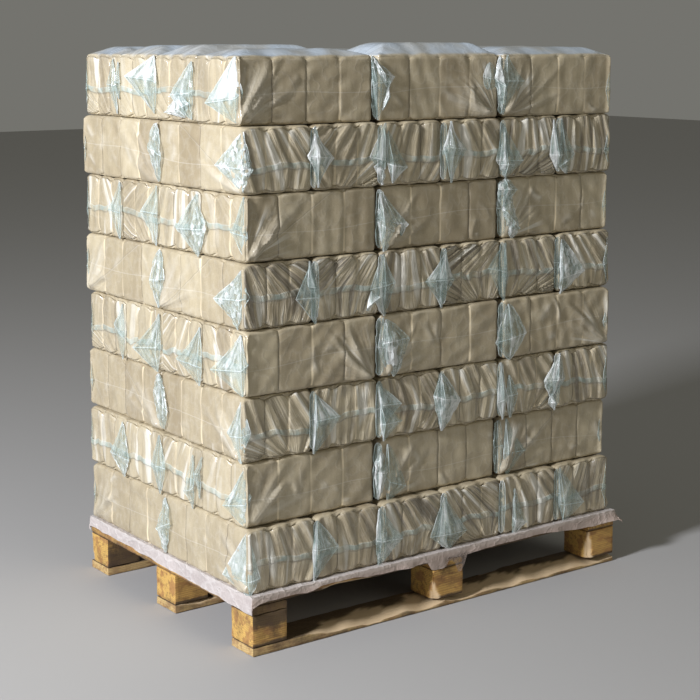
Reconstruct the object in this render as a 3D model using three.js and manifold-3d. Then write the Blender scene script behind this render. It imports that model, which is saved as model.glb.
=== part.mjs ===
// A loaded pallet: 96 film-wrapped packs of pressed fuel briquettes in eight layers, on a slip
// sheet, on a nine-block wooden pallet. Millimetres, +Z up, origin on the floor under the middle
// of the pallet, +X along its 1200 mm side.
import * as THREE from "three";
import { mergeVertices } from "three/addons/utils/BufferGeometryUtils.js";
import Module from "manifold-3d";

const wasm = await Module();
wasm.setup();

// Pallet: three bottom boards, nine blocks, three cross boards, seven deck boards
const PALLET_LENGTH = 1200;
const PALLET_WIDTH = 800;
const BOARD_THICK = 22;
const BLOCK_LENGTH = 99; // along X
const BLOCK_WIDTH = 94; // along Y
const BLOCK_HEIGHT = 78;
const DECK_BOARD_WIDTH = 95;
const DECK_BOARDS = 7;
const ROWS = [-1, 0, 1]; // near side, middle, far side

const BLOCK_Z = BOARD_THICK;
const CROSS_Z = BLOCK_Z + BLOCK_HEIGHT;
const DECK_Z = CROSS_Z + BOARD_THICK;
const DECK_TOP = DECK_Z + BOARD_THICK;

// Slip sheet: laid on the deck, its margin turned down over the edges
const SHEET_THICK = 1;
const SHEET_GAP = 0.25; // clear of the boards' edges
const SHEET_TOP = DECK_TOP + SHEET_THICK;
const SKIRT_STEPS = 9; // waves of the torn lower edge along one side
const SKIRT_DROP = 31;
const SKIRT_WAVE = 7;
const CORNER_DROP = 12; // the corners hang lower than the sides

// One briquette stands on end, four by three of them make a pack
const BRIQUETTE = { width: 95, thick: 61.5, height: 154 };
const FILM = 1; // wrapping and its slack on each side
const SEALS = 2.5; // what the folded film adds to the height
const PACK_LENGTH = 4 * BRIQUETTE.width + 2 * FILM;
const PACK_WIDTH = 3 * BRIQUETTE.thick + 2 * FILM;
const PACK_HEIGHT = BRIQUETTE.height + SEALS;
const PACK_EDGE = 6; // rounding of the pack's edges, as one chamfer
const GROOVE_WIDTH = 8; // between two briquettes' rounded edges
const GROOVE_DEPTH = 3;

// Layers alternate between packs laid along the pallet and packs laid across it
const LAYERS = 8;
const ALONG = { countX: 3, countY: 4, gapX: 17, gapY: 1.5, turned: false };
const ACROSS = { countX: 6, countY: 2, gapX: 12, gapY: 2, turned: true };
const CORE_INSET = 42; // how deep the gaps between packs reach in from the sides
const CORE_BELOW = 9; // and down from the top of the uppermost layer

// Film ears: the folded wrapping stands off as a kite where two packs meet on a side
const EAR_STAND = 10; // how far the middle of an ear at the packs' ends stands off
const STRIP = { reach: [20, 22, 0.5], stand: 7 }; // gathered film in the gap between long sides
const EAR_TUCK = 8; // how deep an ear goes into the gap behind it
const EAR_TIP = 2; // height of its pinched tips, to their half width
const EAR_MARGIN = 2; // least reach past the rounded edges of the packs
const EAR_REACH = 58; // greatest reach, clear of the first grooves
// Each ear's reach to the left and right and the height of its waist as a share of the pack's,
// seen from outside from the left: on the front of the layers that lie across, and on the left of
// those that lie along. The opposite sides have the same ears, in the same order from outside.
const FRONT_EARS = {
  6: [[17, 57, 0.51], [34, 58, 0.4], [5, 58, 0.52], [25, 58, 0.34], [34, 52, 0.34]],
  4: [[57, 10, 0.4], [45, 38, 0.46], [58, 31, 0.44], [49, 16, 0.5], [5, 58, 0.35]],
  2: [[5, 58, 0.5], [5, 58, 0.5], [26, 58, 0.5], [13, 57, 0.36], [46, 25, 0.5]],
  0: [[14, 58, 0.48], [21, 58, 0.4], [45, 58, 0.3], [5, 58, 0.25], [5, 58, 0.35]],
};
const LEFT_EARS = {
  7: [[58, 5, 0.52], [58, 12, 0.65], [58, 5, 0.42]],
  5: [[58, 5, 0.47], [58, 5, 0.53], [58, 16, 0.38]],
  3: [[58, 5, 0.5], [58, 5, 0.35], [58, 5, 0.35]],
  1: [[58, 18, 0.36], [50, 18, 0.45], [58, 5, 0.3]],
};
// How far each layer lies off the pallet's middle, in X and Y, and its turn in degrees
const LAYER_SLIPS = [
  [-9, -3, -0.1],
  [-10.5, 9, 0.1],
  [-6.5, 9, -0.6],
  [-9.5, -0.5, -0.25],
  [-9, 11, 0.2],
  [-8.5, 12, 0.4],
  [-9, 15, 0.25],
  [-5, 16, -0.9],
];

const pine = new THREE.MeshStandardMaterial({ color: 0xc79a5b, roughness: 0.85, metalness: 0 });
const weatheredPine = new THREE.MeshStandardMaterial({ color: 0x9c7b52, roughness: 0.9, metalness: 0 });
const sheetFilm = new THREE.MeshStandardMaterial({ color: 0xc9bcb8, roughness: 0.6, metalness: 0 });
const wrappedBriquettes = new THREE.MeshStandardMaterial({ color: 0xb7a684, roughness: 0.55, metalness: 0 });

// A closed geometry as a solid that can be joined or cut
function solidOf(geometry) {
  const bare = geometry.clone();
  bare.deleteAttribute("normal");
  bare.deleteAttribute("uv");
  const merged = mergeVertices(bare, 1e-4);
  return new wasm.Manifold(
    new wasm.Mesh({
      numProp: 3,
      vertProperties: merged.attributes.position.array,
      triVerts: new Uint32Array(merged.index.array),
    }),
  );
}

function geometryOf(solid) {
  const mesh = solid.getMesh();
  const geometry = new THREE.BufferGeometry();
  geometry.setAttribute("position", new THREE.BufferAttribute(mesh.vertProperties, 3));
  geometry.setIndex(new THREE.BufferAttribute(mesh.triVerts, 1));
  geometry.computeVertexNormals();
  return geometry;
}

function boxMesh(name, size, centre, material) {
  const mesh = new THREE.Mesh(new THREE.BoxGeometry(...size), material);
  mesh.name = name;
  mesh.position.set(...centre);
  return mesh;
}

// Wooden pallet

function makePallet() {
  const pallet = new THREE.Group();
  const rowY = (row) => (row * (PALLET_WIDTH - BLOCK_WIDTH)) / 2;
  const rowX = (row) => (row * (PALLET_LENGTH - BLOCK_LENGTH)) / 2;
  const rowNames = { "-1": "front", 0: "middle", 1: "back" };
  const columnNames = { "-1": "left", 0: "centre", 1: "right" };
  for (const row of ROWS) {
    pallet.add(
      boxMesh(
        `bottom_board_${rowNames[row]}`,
        [PALLET_LENGTH, BLOCK_WIDTH, BOARD_THICK],
        [0, rowY(row), BOARD_THICK / 2],
        weatheredPine,
      ),
    );
    for (const column of ROWS) {
      pallet.add(
        boxMesh(
          `block_${rowNames[row]}_${columnNames[column]}`,
          [BLOCK_LENGTH, BLOCK_WIDTH, BLOCK_HEIGHT],
          [rowX(column), rowY(row), BLOCK_Z + BLOCK_HEIGHT / 2],
          pine,
        ),
      );
    }
  }
  for (const column of ROWS) {
    pallet.add(
      boxMesh(
        `cross_board_${columnNames[column]}`,
        [BLOCK_LENGTH, PALLET_WIDTH, BOARD_THICK],
        [rowX(column), 0, CROSS_Z + BOARD_THICK / 2],
        pine,
      ),
    );
  }
  const pitch = (PALLET_WIDTH - DECK_BOARD_WIDTH) / (DECK_BOARDS - 1);
  for (let i = 0; i < DECK_BOARDS; i++) {
    pallet.add(
      boxMesh(
        `deck_board_${i + 1}`,
        [PALLET_LENGTH, DECK_BOARD_WIDTH, BOARD_THICK],
        [0, (i - (DECK_BOARDS - 1) / 2) * pitch, DECK_Z + BOARD_THICK / 2],
        pine,
      ),
    );
  }
  return pallet;
}

// Slip sheet

// One hanging margin of the sheet: a strip whose lower edge waves along the side
function skirtGeometry(length, phase) {
  const half = length / 2;
  const outline = new THREE.Shape();
  outline.moveTo(-half, 0);
  for (let i = 0; i <= SKIRT_STEPS; i++) {
    const along = -half + (length * i) / SKIRT_STEPS;
    const wave = SKIRT_WAVE * Math.sin(phase + 2.3 * i) * Math.cos(phase * 3 + 0.9 * i);
    const corner = i === 0 || i === SKIRT_STEPS ? CORNER_DROP : 0;
    outline.lineTo(along, -(SKIRT_DROP + wave + corner));
  }
  outline.lineTo(half, 0);
  return new THREE.ExtrudeGeometry(outline, { depth: SHEET_THICK, bevelEnabled: false });
}

function makeSlipSheet() {
  const halfLength = PALLET_LENGTH / 2 + SHEET_GAP;
  const halfWidth = PALLET_WIDTH / 2 + SHEET_GAP;
  const topLength = 2 * (halfLength + SHEET_THICK);
  const topWidth = 2 * (halfWidth + SHEET_THICK);
  const top = new THREE.BoxGeometry(topLength, topWidth, SHEET_THICK);
  top.translate(0, 0, DECK_TOP + SHEET_THICK / 2);
  let sheet = solidOf(top);
  const sides = [
    { length: topLength, turn: 0, out: halfWidth, phase: 0.4 },
    { length: topWidth, turn: Math.PI / 2, out: halfLength, phase: 1.3 },
    { length: topLength, turn: Math.PI, out: halfWidth, phase: 2.1 },
    { length: topWidth, turn: -Math.PI / 2, out: halfLength, phase: 3.2 },
  ];
  for (const side of sides) {
    const skirt = skirtGeometry(side.length, side.phase);
    skirt.rotateX(Math.PI / 2); // stands up, its outer face looking along -Y
    skirt.translate(0, -side.out, SHEET_TOP);
    skirt.rotateZ(side.turn);
    sheet = sheet.add(solidOf(skirt));
  }
  const mesh = new THREE.Mesh(geometryOf(sheet), sheetFilm);
  mesh.name = "slip_sheet";
  return mesh;
}

// Packs of briquettes

// One pack, its film drawn tight over the briquettes: a block with chamfered edges
function makePack() {
  const halfLength = PACK_LENGTH / 2 - PACK_EDGE;
  const halfWidth = PACK_WIDTH / 2 - PACK_EDGE;
  const outline = new THREE.Shape();
  outline.moveTo(-halfLength, -halfWidth);
  outline.lineTo(halfLength, -halfWidth);
  outline.lineTo(halfLength, halfWidth);
  outline.lineTo(-halfLength, halfWidth);
  const geometry = new THREE.ExtrudeGeometry(outline, {
    depth: PACK_HEIGHT - 2 * PACK_EDGE,
    bevelThickness: PACK_EDGE,
    bevelSize: PACK_EDGE,
    bevelSegments: 1,
  });
  geometry.translate(0, 0, PACK_EDGE);
  return solidOf(geometry);
}

// A V-shaped cutter for the groove between two briquettes, its open side on the plane y = 0
function makeGrooveCutter() {
  const section = new THREE.Shape();
  section.moveTo(-GROOVE_WIDTH, -GROOVE_DEPTH);
  section.lineTo(GROOVE_WIDTH, -GROOVE_DEPTH);
  section.lineTo(0, GROOVE_DEPTH);
  return solidOf(new THREE.ExtrudeGeometry(section, { depth: PACK_HEIGHT, bevelEnabled: false }));
}

// The grooves along one side of a layer: `packs` packs at `pitch`, each of `count` briquettes
function sideGrooves(packs, pitch, packSize, count) {
  const places = [];
  for (let pack = 0; pack < packs; pack++) {
    const middle = (pack - (packs - 1) / 2) * pitch;
    for (let joint = 1; joint < count; joint++) {
      places.push(middle + packSize * (joint / count - 0.5));
    }
  }
  return places;
}

// A kite of folded film that looks along -Y from the plane y = 0, where two packs meet at x = 0:
// pinched at its top and foot, and widest and farthest out at its waist
function makeEar(gap, [left, right, waist], stand) {
  const mouth = gap / 2 + PACK_EDGE;
  const reachOf = (reach) => Math.min(Math.max(reach, mouth + EAR_MARGIN), EAR_REACH);
  const low = PACK_EDGE;
  const high = PACK_HEIGHT - PACK_EDGE;
  const tip = EAR_TIP * mouth;
  const middle = Math.round(waist * PACK_HEIGHT);
  const outline = [
    [0, low],
    [mouth, low + tip],
    [reachOf(right), middle],
    [mouth, high - tip],
    [0, high],
    [-mouth, high - tip],
    [-reachOf(left), middle],
    [-mouth, low + tip],
  ];
  const count = outline.length;
  const points = [];
  for (const y of [0, EAR_TUCK]) {
    for (const [x, z] of outline) {
      points.push(x, y, z);
    }
  }
  points.push(0, -stand, middle, 0, EAR_TUCK, middle);
  const peak = 2 * count;
  const back = peak + 1;
  const faces = [];
  for (let i = 0; i < count; i++) {
    const next = (i + 1) % count;
    faces.push(peak, i, next);
    faces.push(i, i + count, next + count);
    faces.push(i, next + count, next);
    faces.push(back, next + count, i + count);
  }
  const geometry = new THREE.BufferGeometry();
  geometry.setAttribute("position", new THREE.Float32BufferAttribute(points, 3));
  geometry.setIndex(faces);
  return solidOf(geometry);
}

// The ears of a layer, one where two packs meet on a side: kites at the packs' ends, narrow strips
// between their long sides
function makeEars(index, layout, halfX, halfY, pitchX, pitchY) {
  const ears = [];
  const listed = layout.turned ? FRONT_EARS[index] : LEFT_EARS[index];
  const sides = [
    { turn: 0, out: halfY, pitch: pitchX, count: layout.countX, gap: layout.gapX, isEnd: layout.turned },
    { turn: 90, out: halfX, pitch: pitchY, count: layout.countY, gap: layout.gapY, isEnd: !layout.turned },
  ];
  for (const side of sides) {
    for (let i = 1; i < side.count; i++) {
      const along = (i - side.count / 2) * side.pitch;
      const reach = side.isEnd ? listed[i - 1] : STRIP.reach;
      const ear = makeEar(side.gap, reach, side.isEnd ? EAR_STAND : STRIP.stand);
      const placed = ear.translate([along, -side.out, 0]).rotate([0, 0, -side.turn]);
      ears.push(placed);
      ears.push(placed.rotate([0, 0, 180]));
    }
  }
  return ears;
}

// A layer's packs, joined by a core that stays out of sight behind the gaps between them
function makeLayer(index) {
  const layout = index % 2 === 0 ? ACROSS : ALONG;
  const isTop = index === LAYERS - 1;
  const [sizeX, sizeY] = layout.turned ? [PACK_WIDTH, PACK_LENGTH] : [PACK_LENGTH, PACK_WIDTH];
  const [bricksX, bricksY] = layout.turned ? [3, 4] : [4, 3];
  const pitchX = sizeX + layout.gapX;
  const pitchY = sizeY + layout.gapY;
  const lengthX = pitchX * layout.countX - layout.gapX;
  const lengthY = pitchY * layout.countY - layout.gapY;
  const coreHeight = isTop ? PACK_HEIGHT - CORE_BELOW : PACK_HEIGHT;
  const core = new THREE.BoxGeometry(lengthX - 2 * CORE_INSET, lengthY - 2 * CORE_INSET, coreHeight);
  core.translate(0, 0, coreHeight / 2);
  let layer = solidOf(core);
  const pack = makePack().rotate([0, 0, layout.turned ? 90 : 0]);
  for (let column = 0; column < layout.countX; column++) {
    for (let row = 0; row < layout.countY; row++) {
      const x = (column - (layout.countX - 1) / 2) * pitchX;
      const y = (row - (layout.countY - 1) / 2) * pitchY;
      layer = layer.add(pack.translate([x, y, 0]));
    }
  }
  const cutter = makeGrooveCutter();
  for (const x of sideGrooves(layout.countX, pitchX, sizeX, bricksX)) {
    layer = layer.subtract(cutter.translate([x, -lengthY / 2, 0]));
    layer = layer.subtract(cutter.rotate([0, 0, 180]).translate([x, lengthY / 2, 0]));
  }
  for (const y of sideGrooves(layout.countY, pitchY, sizeY, bricksY)) {
    layer = layer.subtract(cutter.rotate([0, 0, -90]).translate([-lengthX / 2, y, 0]));
    layer = layer.subtract(cutter.rotate([0, 0, 90]).translate([lengthX / 2, y, 0]));
  }
  for (const ear of makeEars(index, layout, lengthX / 2, lengthY / 2, pitchX, pitchY)) {
    layer = layer.add(ear);
  }
  const mesh = new THREE.Mesh(geometryOf(layer), wrappedBriquettes);
  mesh.name = `pack_layer_${index + 1}`;
  const [slipX, slipY, turn] = LAYER_SLIPS[index];
  mesh.position.set(slipX, slipY, SHEET_TOP + index * PACK_HEIGHT);
  mesh.rotation.z = THREE.MathUtils.degToRad(turn);
  return mesh;
}

const loadedPallet = new THREE.Group();
loadedPallet.add(makePallet());
loadedPallet.add(makeSlipSheet());
for (let index = 0; index < LAYERS; index++) {
  loadedPallet.add(makeLayer(index));
}

export default loadedPallet;
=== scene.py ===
"""A pallet of film-wrapped fuel briquettes: its looks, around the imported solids. Metres, +Z up."""
import math
from typing import NamedTuple

import bpy
import numpy as np
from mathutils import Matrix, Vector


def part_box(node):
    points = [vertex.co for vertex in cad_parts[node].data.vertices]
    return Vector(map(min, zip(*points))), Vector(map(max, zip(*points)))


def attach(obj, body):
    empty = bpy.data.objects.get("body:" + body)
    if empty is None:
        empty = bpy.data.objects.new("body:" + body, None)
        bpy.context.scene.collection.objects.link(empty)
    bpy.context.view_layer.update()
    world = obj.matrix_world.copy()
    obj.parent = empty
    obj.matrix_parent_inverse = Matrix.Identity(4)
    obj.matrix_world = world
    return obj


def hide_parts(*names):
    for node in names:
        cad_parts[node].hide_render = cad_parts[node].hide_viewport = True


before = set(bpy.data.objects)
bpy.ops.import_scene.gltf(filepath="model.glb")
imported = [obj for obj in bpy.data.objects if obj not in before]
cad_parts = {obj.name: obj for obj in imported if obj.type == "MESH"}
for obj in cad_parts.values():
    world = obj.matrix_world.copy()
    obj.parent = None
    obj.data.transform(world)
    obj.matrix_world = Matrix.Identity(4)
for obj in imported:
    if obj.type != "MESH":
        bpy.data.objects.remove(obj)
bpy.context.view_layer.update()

# Camera, at the photograph's place
CAMERA_PLACE = (-2.5629, -3.3734, 1.4332)
CAMERA_YAW = 0.6252
CAMERA_PITCH = 0.13
CAMERA_LENS = 81.57
CAMERA_SHIFT = (0.0482, -0.1454)

# A pack: four by three briquettes standing on end
PACK_LENGTH = 0.382
PACK_WIDTH = 0.1865
PACK_HEIGHT = 0.1565
BRICKS_LONG = 4
BRICKS_WIDE = 3
CORNER_ROUND = 0.008
CELLS_PER_LONG_BRICK = 18
CELLS_PER_WIDE_BRICK = 16
CELLS_UP = 32
CELLS_CROWDING = 0.45  # how far the mesh crowds towards the joints between briquettes
RETURN_DEPTH = 0.016  # how far the fine mesh runs in behind a visible edge
FOLD_CONTRAST = (0.6, 1.6)  # how strongly folds show on sides that face along X and along Y
END_SPREAD = 0.0058  # how far the gathered film widens a pack at its end

# Layers with packs along the pallet or across it: how many stand along X and along Y, and the gaps
ALONG = {"count": (3, 4), "gap": (0.017, 0.0015), "turned": False}
ACROSS = {"count": (6, 2), "gap": (0.012, 0.002), "turned": True}
# Each layer, from the lowest: X and Y off the pallet's middle in millimetres, turn in degrees
LAYER_SLIPS = [
    (-9, -3, -0.1),
    (-10.5, 9, 0.1),
    (-6.5, 9, -0.6),
    (-9.5, -0.5, -0.25),
    (-9, 11, 0.2),
    (-8.5, 12, 0.4),
    (-9, 15, 0.25),
    (-5, 16, -0.9),
]
CORE_INSET = 0.042
CORE_BELOW = 0.009  # under the top film of the uppermost layer

# Ways to face, as axis and sign
LEFT, RIGHT, FRONT, BACK, BOTTOM, TOP = (0, -1), (0, 1), (1, -1), (1, 1), (2, -1), (2, 1)


class Side(NamedTuple):
    """A side: the axis that it faces and which way, and the axis along it and which way that runs,
    seen from outside from left to right."""

    axis: int
    sign: int
    along: int = 0
    run: int = 1

    def depth(self, points, half):
        """How far in from this side the points of a box lie, its middle being the origin."""
        return half[self.axis] - self.sign * points[:, self.axis]


SIDES = {
    "front": Side(*FRONT, along=0, run=1),
    "right": Side(*RIGHT, along=1, run=1),
    "back": Side(*BACK, along=0, run=-1),
    "left": Side(*LEFT, along=1, run=-1),
}


# Mesh helpers

def deselect_all():
    if bpy.context.object and bpy.context.object.mode != "OBJECT":
        bpy.ops.object.mode_set(mode="OBJECT")
    bpy.ops.object.select_all(action="DESELECT")


def add_box(name, size, centre):
    """A cube at its size and place, its object at the origin."""
    deselect_all()
    bpy.ops.mesh.primitive_cube_add(size=1, location=centre, scale=size)
    bpy.ops.object.transform_apply(location=True, rotation=True, scale=True)
    obj = bpy.context.object
    obj.name = name
    return obj


def add_grid(columns, rows):
    """A flat square of one metre in equal cells."""
    deselect_all()
    bpy.ops.mesh.primitive_grid_add(
        x_subdivisions=columns, y_subdivisions=rows, size=1, location=(0, 0, 0)
    )
    return bpy.context.object


def numbers_of(items, key, width=3, kind=float):
    """A row of numbers for each point, edge or face."""
    values = np.empty(len(items) * width, kind)
    items.foreach_get(key, values)
    return values.reshape(-1, width)


def points_of(obj):
    return numbers_of(obj.data.vertices, "co")


def set_points(obj, points):
    obj.data.vertices.foreach_set("co", points.astype(np.float32).ravel())
    obj.data.update()


def edit_only(obj, kind, chosen, operator, **settings):
    """Runs an edit-mode operator on the chosen edges or polygons alone."""
    bpy.context.tool_settings.mesh_select_mode = (False, kind == "edges", kind == "polygons")
    bpy.ops.object.mode_set(mode="EDIT")
    bpy.ops.mesh.select_all(action="DESELECT")
    bpy.ops.object.mode_set(mode="OBJECT")
    getattr(obj.data, kind).foreach_set("select", chosen)
    bpy.ops.object.mode_set(mode="EDIT")
    operator(**settings)
    bpy.ops.object.mode_set(mode="OBJECT")


def cut_along(obj, axis, cells):
    """Cuts every edge that runs along one axis into equal cells."""
    points = points_of(obj)
    ends = numbers_of(obj.data.edges, "vertices", 2, int)
    reach = np.abs(points[ends[:, 1]] - points[ends[:, 0]])
    runs_along = reach[:, axis] > reach.sum(axis=1) * 0.99
    edit_only(obj, "edges", runs_along, bpy.ops.mesh.subdivide, number_cuts=cells - 1)


def merge_flat(obj, chosen):
    """Dissolves the chosen faces into as few as their flat places need."""
    angle = math.radians(1)
    edit_only(obj, "polygons", chosen, bpy.ops.mesh.dissolve_limited, angle_limit=angle)


def join_as(name, objects):
    deselect_all()
    for obj in objects:
        obj.select_set(True)
    bpy.context.view_layer.objects.active = objects[0]
    bpy.ops.object.join()
    joined = bpy.context.object
    joined.name = name
    joined.data.name = name
    return joined


def thicken(obj, thick):
    """Gives a sheet its thickness, half to each side."""
    modifier = obj.modifiers.new("thickness", "SOLIDIFY")
    modifier.thickness = thick
    modifier.offset = 0
    bpy.ops.object.modifier_apply(modifier="thickness")


def hand_over(obj, material, node=None, smooth_below=50):
    """Finishes a piece: its shading, its material, the body it rides on and the node it stands for."""
    obj.data.materials.clear()
    obj.data.materials.append(material)
    deselect_all()
    obj.select_set(True)
    bpy.context.view_layer.objects.active = obj
    bpy.ops.object.shade_smooth_by_angle(angle=math.radians(smooth_below))
    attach(obj, "root")
    if node:
        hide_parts(node)


def set_attribute(obj, name, values):
    """Writes one number or one vector for every vertex."""
    kind = "FLOAT" if values.ndim == 1 else "FLOAT_VECTOR"
    attribute = obj.data.attributes.get(name) or obj.data.attributes.new(name, kind, "POINT")
    key = "value" if values.ndim == 1 else "vector"
    attribute.data.foreach_set(key, values.astype(np.float32).ravel())


def waves(points, scale, seed, count=7):
    """Smooth seeded noise between about -1 and 1, from a few slanted waves."""
    rng = np.random.default_rng(seed)
    total = np.zeros(len(points))
    for _ in range(count):
        direction = rng.normal(size=points.shape[1])
        direction /= np.linalg.norm(direction)
        pitch = scale * rng.uniform(0.6, 1.6)
        total += np.sin(points @ direction * (2 * math.pi / pitch) + rng.uniform(0, 2 * math.pi))
    return total / math.sqrt(count * 1.2)


def zigzag(values, pitch, seed):
    """Seeded straight-sided folds between -1 and 1, with sharp edges."""
    rng = np.random.default_rng(seed)
    total = np.zeros(len(values))
    for share, part in ((0.7, 1.0), (0.4, 0.43)):
        phase = values / (pitch * part) + rng.uniform(0, 1)
        total += share * (4 * np.abs(phase - np.floor(phase + 0.5)) - 1)
    return total


def ramp(values, low, high):
    """0 below low, 1 above high, smooth in between."""
    t = np.clip((values - low) / (high - low), 0, 1)
    return t * t * (3 - 2 * t)


def any_seed(rng):
    return int(rng.integers(1 << 30))


# Node helpers

class Value:
    """A number, colour or vector that a node gives, and what other nodes make of it."""

    def __init__(self, socket):
        self.socket = socket

    def then(self, kind, inputs, gives=0, **settings):
        return add_node(self.socket.id_data, kind, inputs, gives, **settings)

    def math(self, operation, second=0.0, third=0.0):
        return self.then("ShaderNodeMath", {0: self, 1: second, 2: third}, operation=operation)

    def __add__(self, other):
        return self.math("ADD", other)

    def __sub__(self, other):
        return self.math("SUBTRACT", other)

    def __mul__(self, other):
        return self.math("MULTIPLY", other)

    def __abs__(self):
        return self.math("ABSOLUTE")

    def scaled(self, factor, plus):
        return self.math("MULTIPLY_ADD", factor, plus)

    def span(self, low, high, to_low=0.0, to_high=1.0):
        """Goes smoothly from to_low to to_high while this value goes from low to high."""
        inputs = {"Value": self, "From Min": low, "From Max": high, "To Min": to_low, "To Max": to_high}
        return self.then("ShaderNodeMapRange", inputs, interpolation_type="SMOOTHSTEP")

    def within(self, near, far, share=1.0):
        """The share where this value is under near, and nothing past far."""
        return self.span(near, far, share, 0.0)

    def blend(self, first, second):
        """The mix of two colours, this value being the share of the second."""
        return self.then("ShaderNodeMix", {0: self, 6: first, 7: second}, 2, data_type="RGBA")

    def split(self):
        return self.then("ShaderNodeSeparateXYZ", {0: self}, (0, 1, 2))

    def stretched(self, scale):
        return self.then("ShaderNodeMapping", {"Vector": self, "Scale": scale})

    def noise(self, scale, detail=2.0, roughness=0.5):
        inputs = {"Vector": self, "Scale": scale, "Detail": detail, "Roughness": roughness}
        return self.then("ShaderNodeTexNoise", inputs)

    def cells(self, scale):
        """Cells about scattered points: how far the nearest point is, and the cell's own colour."""
        return self.then("ShaderNodeTexVoronoi", {"Vector": self, "Scale": scale}, ("Distance", "Color"))

    def effect(self, group, numbers, gives=0):
        """A shared effect at this place."""
        return self.then("ShaderNodeGroup", {"Place": self, **numbers}, gives, node_tree=group)

    def bump(self, distance, strength):
        inputs = {"Height": self, "Distance": distance, "Strength": strength}
        return self.then("ShaderNodeBump", inputs)


def feed(node, inputs):
    """Links a node's inputs to the values given, or sets them to plain numbers and colours."""
    for name, value in inputs.items():
        socket = node.inputs[name]
        if isinstance(value, Value):
            socket.id_data.links.new(value.socket, socket)
        elif socket.type == "RGBA":
            socket.default_value = (*value, 1)
        else:
            socket.default_value = value


def add_node(tree, kind, inputs=None, gives=0, **settings):
    """Adds a node, and returns what it gives: one output, or several by their keys."""
    node = tree.nodes.new(kind)
    for name, value in settings.items():
        setattr(node, name, value)
    feed(node, inputs or {})
    if isinstance(gives, tuple):
        return [Value(node.outputs[key]) for key in gives]
    return Value(node.outputs[gives])


def weigh(*parts):
    """The sum of values, each with its weight."""
    total = 0.0
    for value, weight in parts:
        total = value.scaled(weight, total)
    return total


def lay_over(seen, *layers):
    """A colour with others laid over it, each by its own share."""
    for share, colour in layers:
        seen = share.blend(seen, colour)
    return seen


def read_attribute(tree, name, gives="Fac"):
    return add_node(tree, "ShaderNodeAttribute", gives=gives, attribute_name=name)


def object_place(tree):
    return add_node(tree, "ShaderNodeTexCoord", gives="Object")


def blank_material(name):
    material = bpy.data.materials.new(name)
    material.use_nodes = True
    tree = material.node_tree
    return material, tree, tree.nodes["Principled BSDF"]


def new_effect(name, numbers, results):
    """A node group of a place and some numbers: the group, what is given to it, and its end."""
    group = bpy.data.node_groups.new(name, "ShaderNodeTree")
    group.interface.new_socket(name="Place", in_out="INPUT", socket_type="NodeSocketVector")
    for in_out, labels in (("INPUT", numbers), ("OUTPUT", results)):
        for label in labels:
            group.interface.new_socket(name=label, in_out=in_out, socket_type="NodeSocketFloat")
    given = add_node(group, "NodeGroupInput", gives=("Place", *numbers))
    return group, given, group.nodes.new("NodeGroupOutput")


# Camera, floor and light

def make_camera():
    turn = (math.pi / 2 - CAMERA_PITCH, 0, -CAMERA_YAW)
    bpy.ops.object.camera_add(location=CAMERA_PLACE, rotation=turn)
    camera = bpy.context.object
    camera.data.lens = CAMERA_LENS
    camera.data.sensor_width = 36
    camera.data.shift_x, camera.data.shift_y = CAMERA_SHIFT
    camera.data.clip_end = 60
    bpy.context.scene.camera = camera


def make_stage():
    bpy.ops.mesh.primitive_plane_add(size=40, location=(0, 0, -0.0005))
    floor = bpy.context.object
    floor.name = "studio_floor"
    bpy.ops.object.transform_apply(location=True, rotation=True, scale=True)
    material, _, shader = blank_material("pale_floor")
    feed(shader, {"Base Color": (0.45, 0.44, 0.42), "Roughness": 0.9})
    floor.data.materials.append(material)


def add_softbox(name, place, target, size, power, colour):
    bpy.ops.object.light_add(type="AREA", location=place)
    light = bpy.context.object
    light.name = name
    light.data.shape = "RECTANGLE"
    light.data.size, light.data.size_y = size
    light.data.energy = power
    light.data.color = colour
    aim = np.array(target) - np.array(place)
    flat = math.hypot(aim[0], aim[1])
    light.rotation_euler = (math.atan2(flat, -aim[2]), 0, math.atan2(-aim[0], aim[1]))


def make_light():
    aim = (0, 0, 0.7)
    add_softbox("key_softbox", (-5.6, -1.0, 3.2), aim, (0.8, 0.8), 470, (1, 1.024, 1.12))
    add_softbox("front_softbox", (1.2, -5.5, 3.2), aim, (3.0, 2.2), 22, (0.94, 0.94, 0.84))
    world = bpy.data.worlds.new("studio")
    bpy.context.scene.world = world
    world.use_nodes = True
    feed(world.node_tree.nodes["Background"], {"Color": (0.87, 0.86, 0.78), "Strength": 0.2})
    bpy.context.scene.view_settings.view_transform = "Standard"


# Layers and packs

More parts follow.
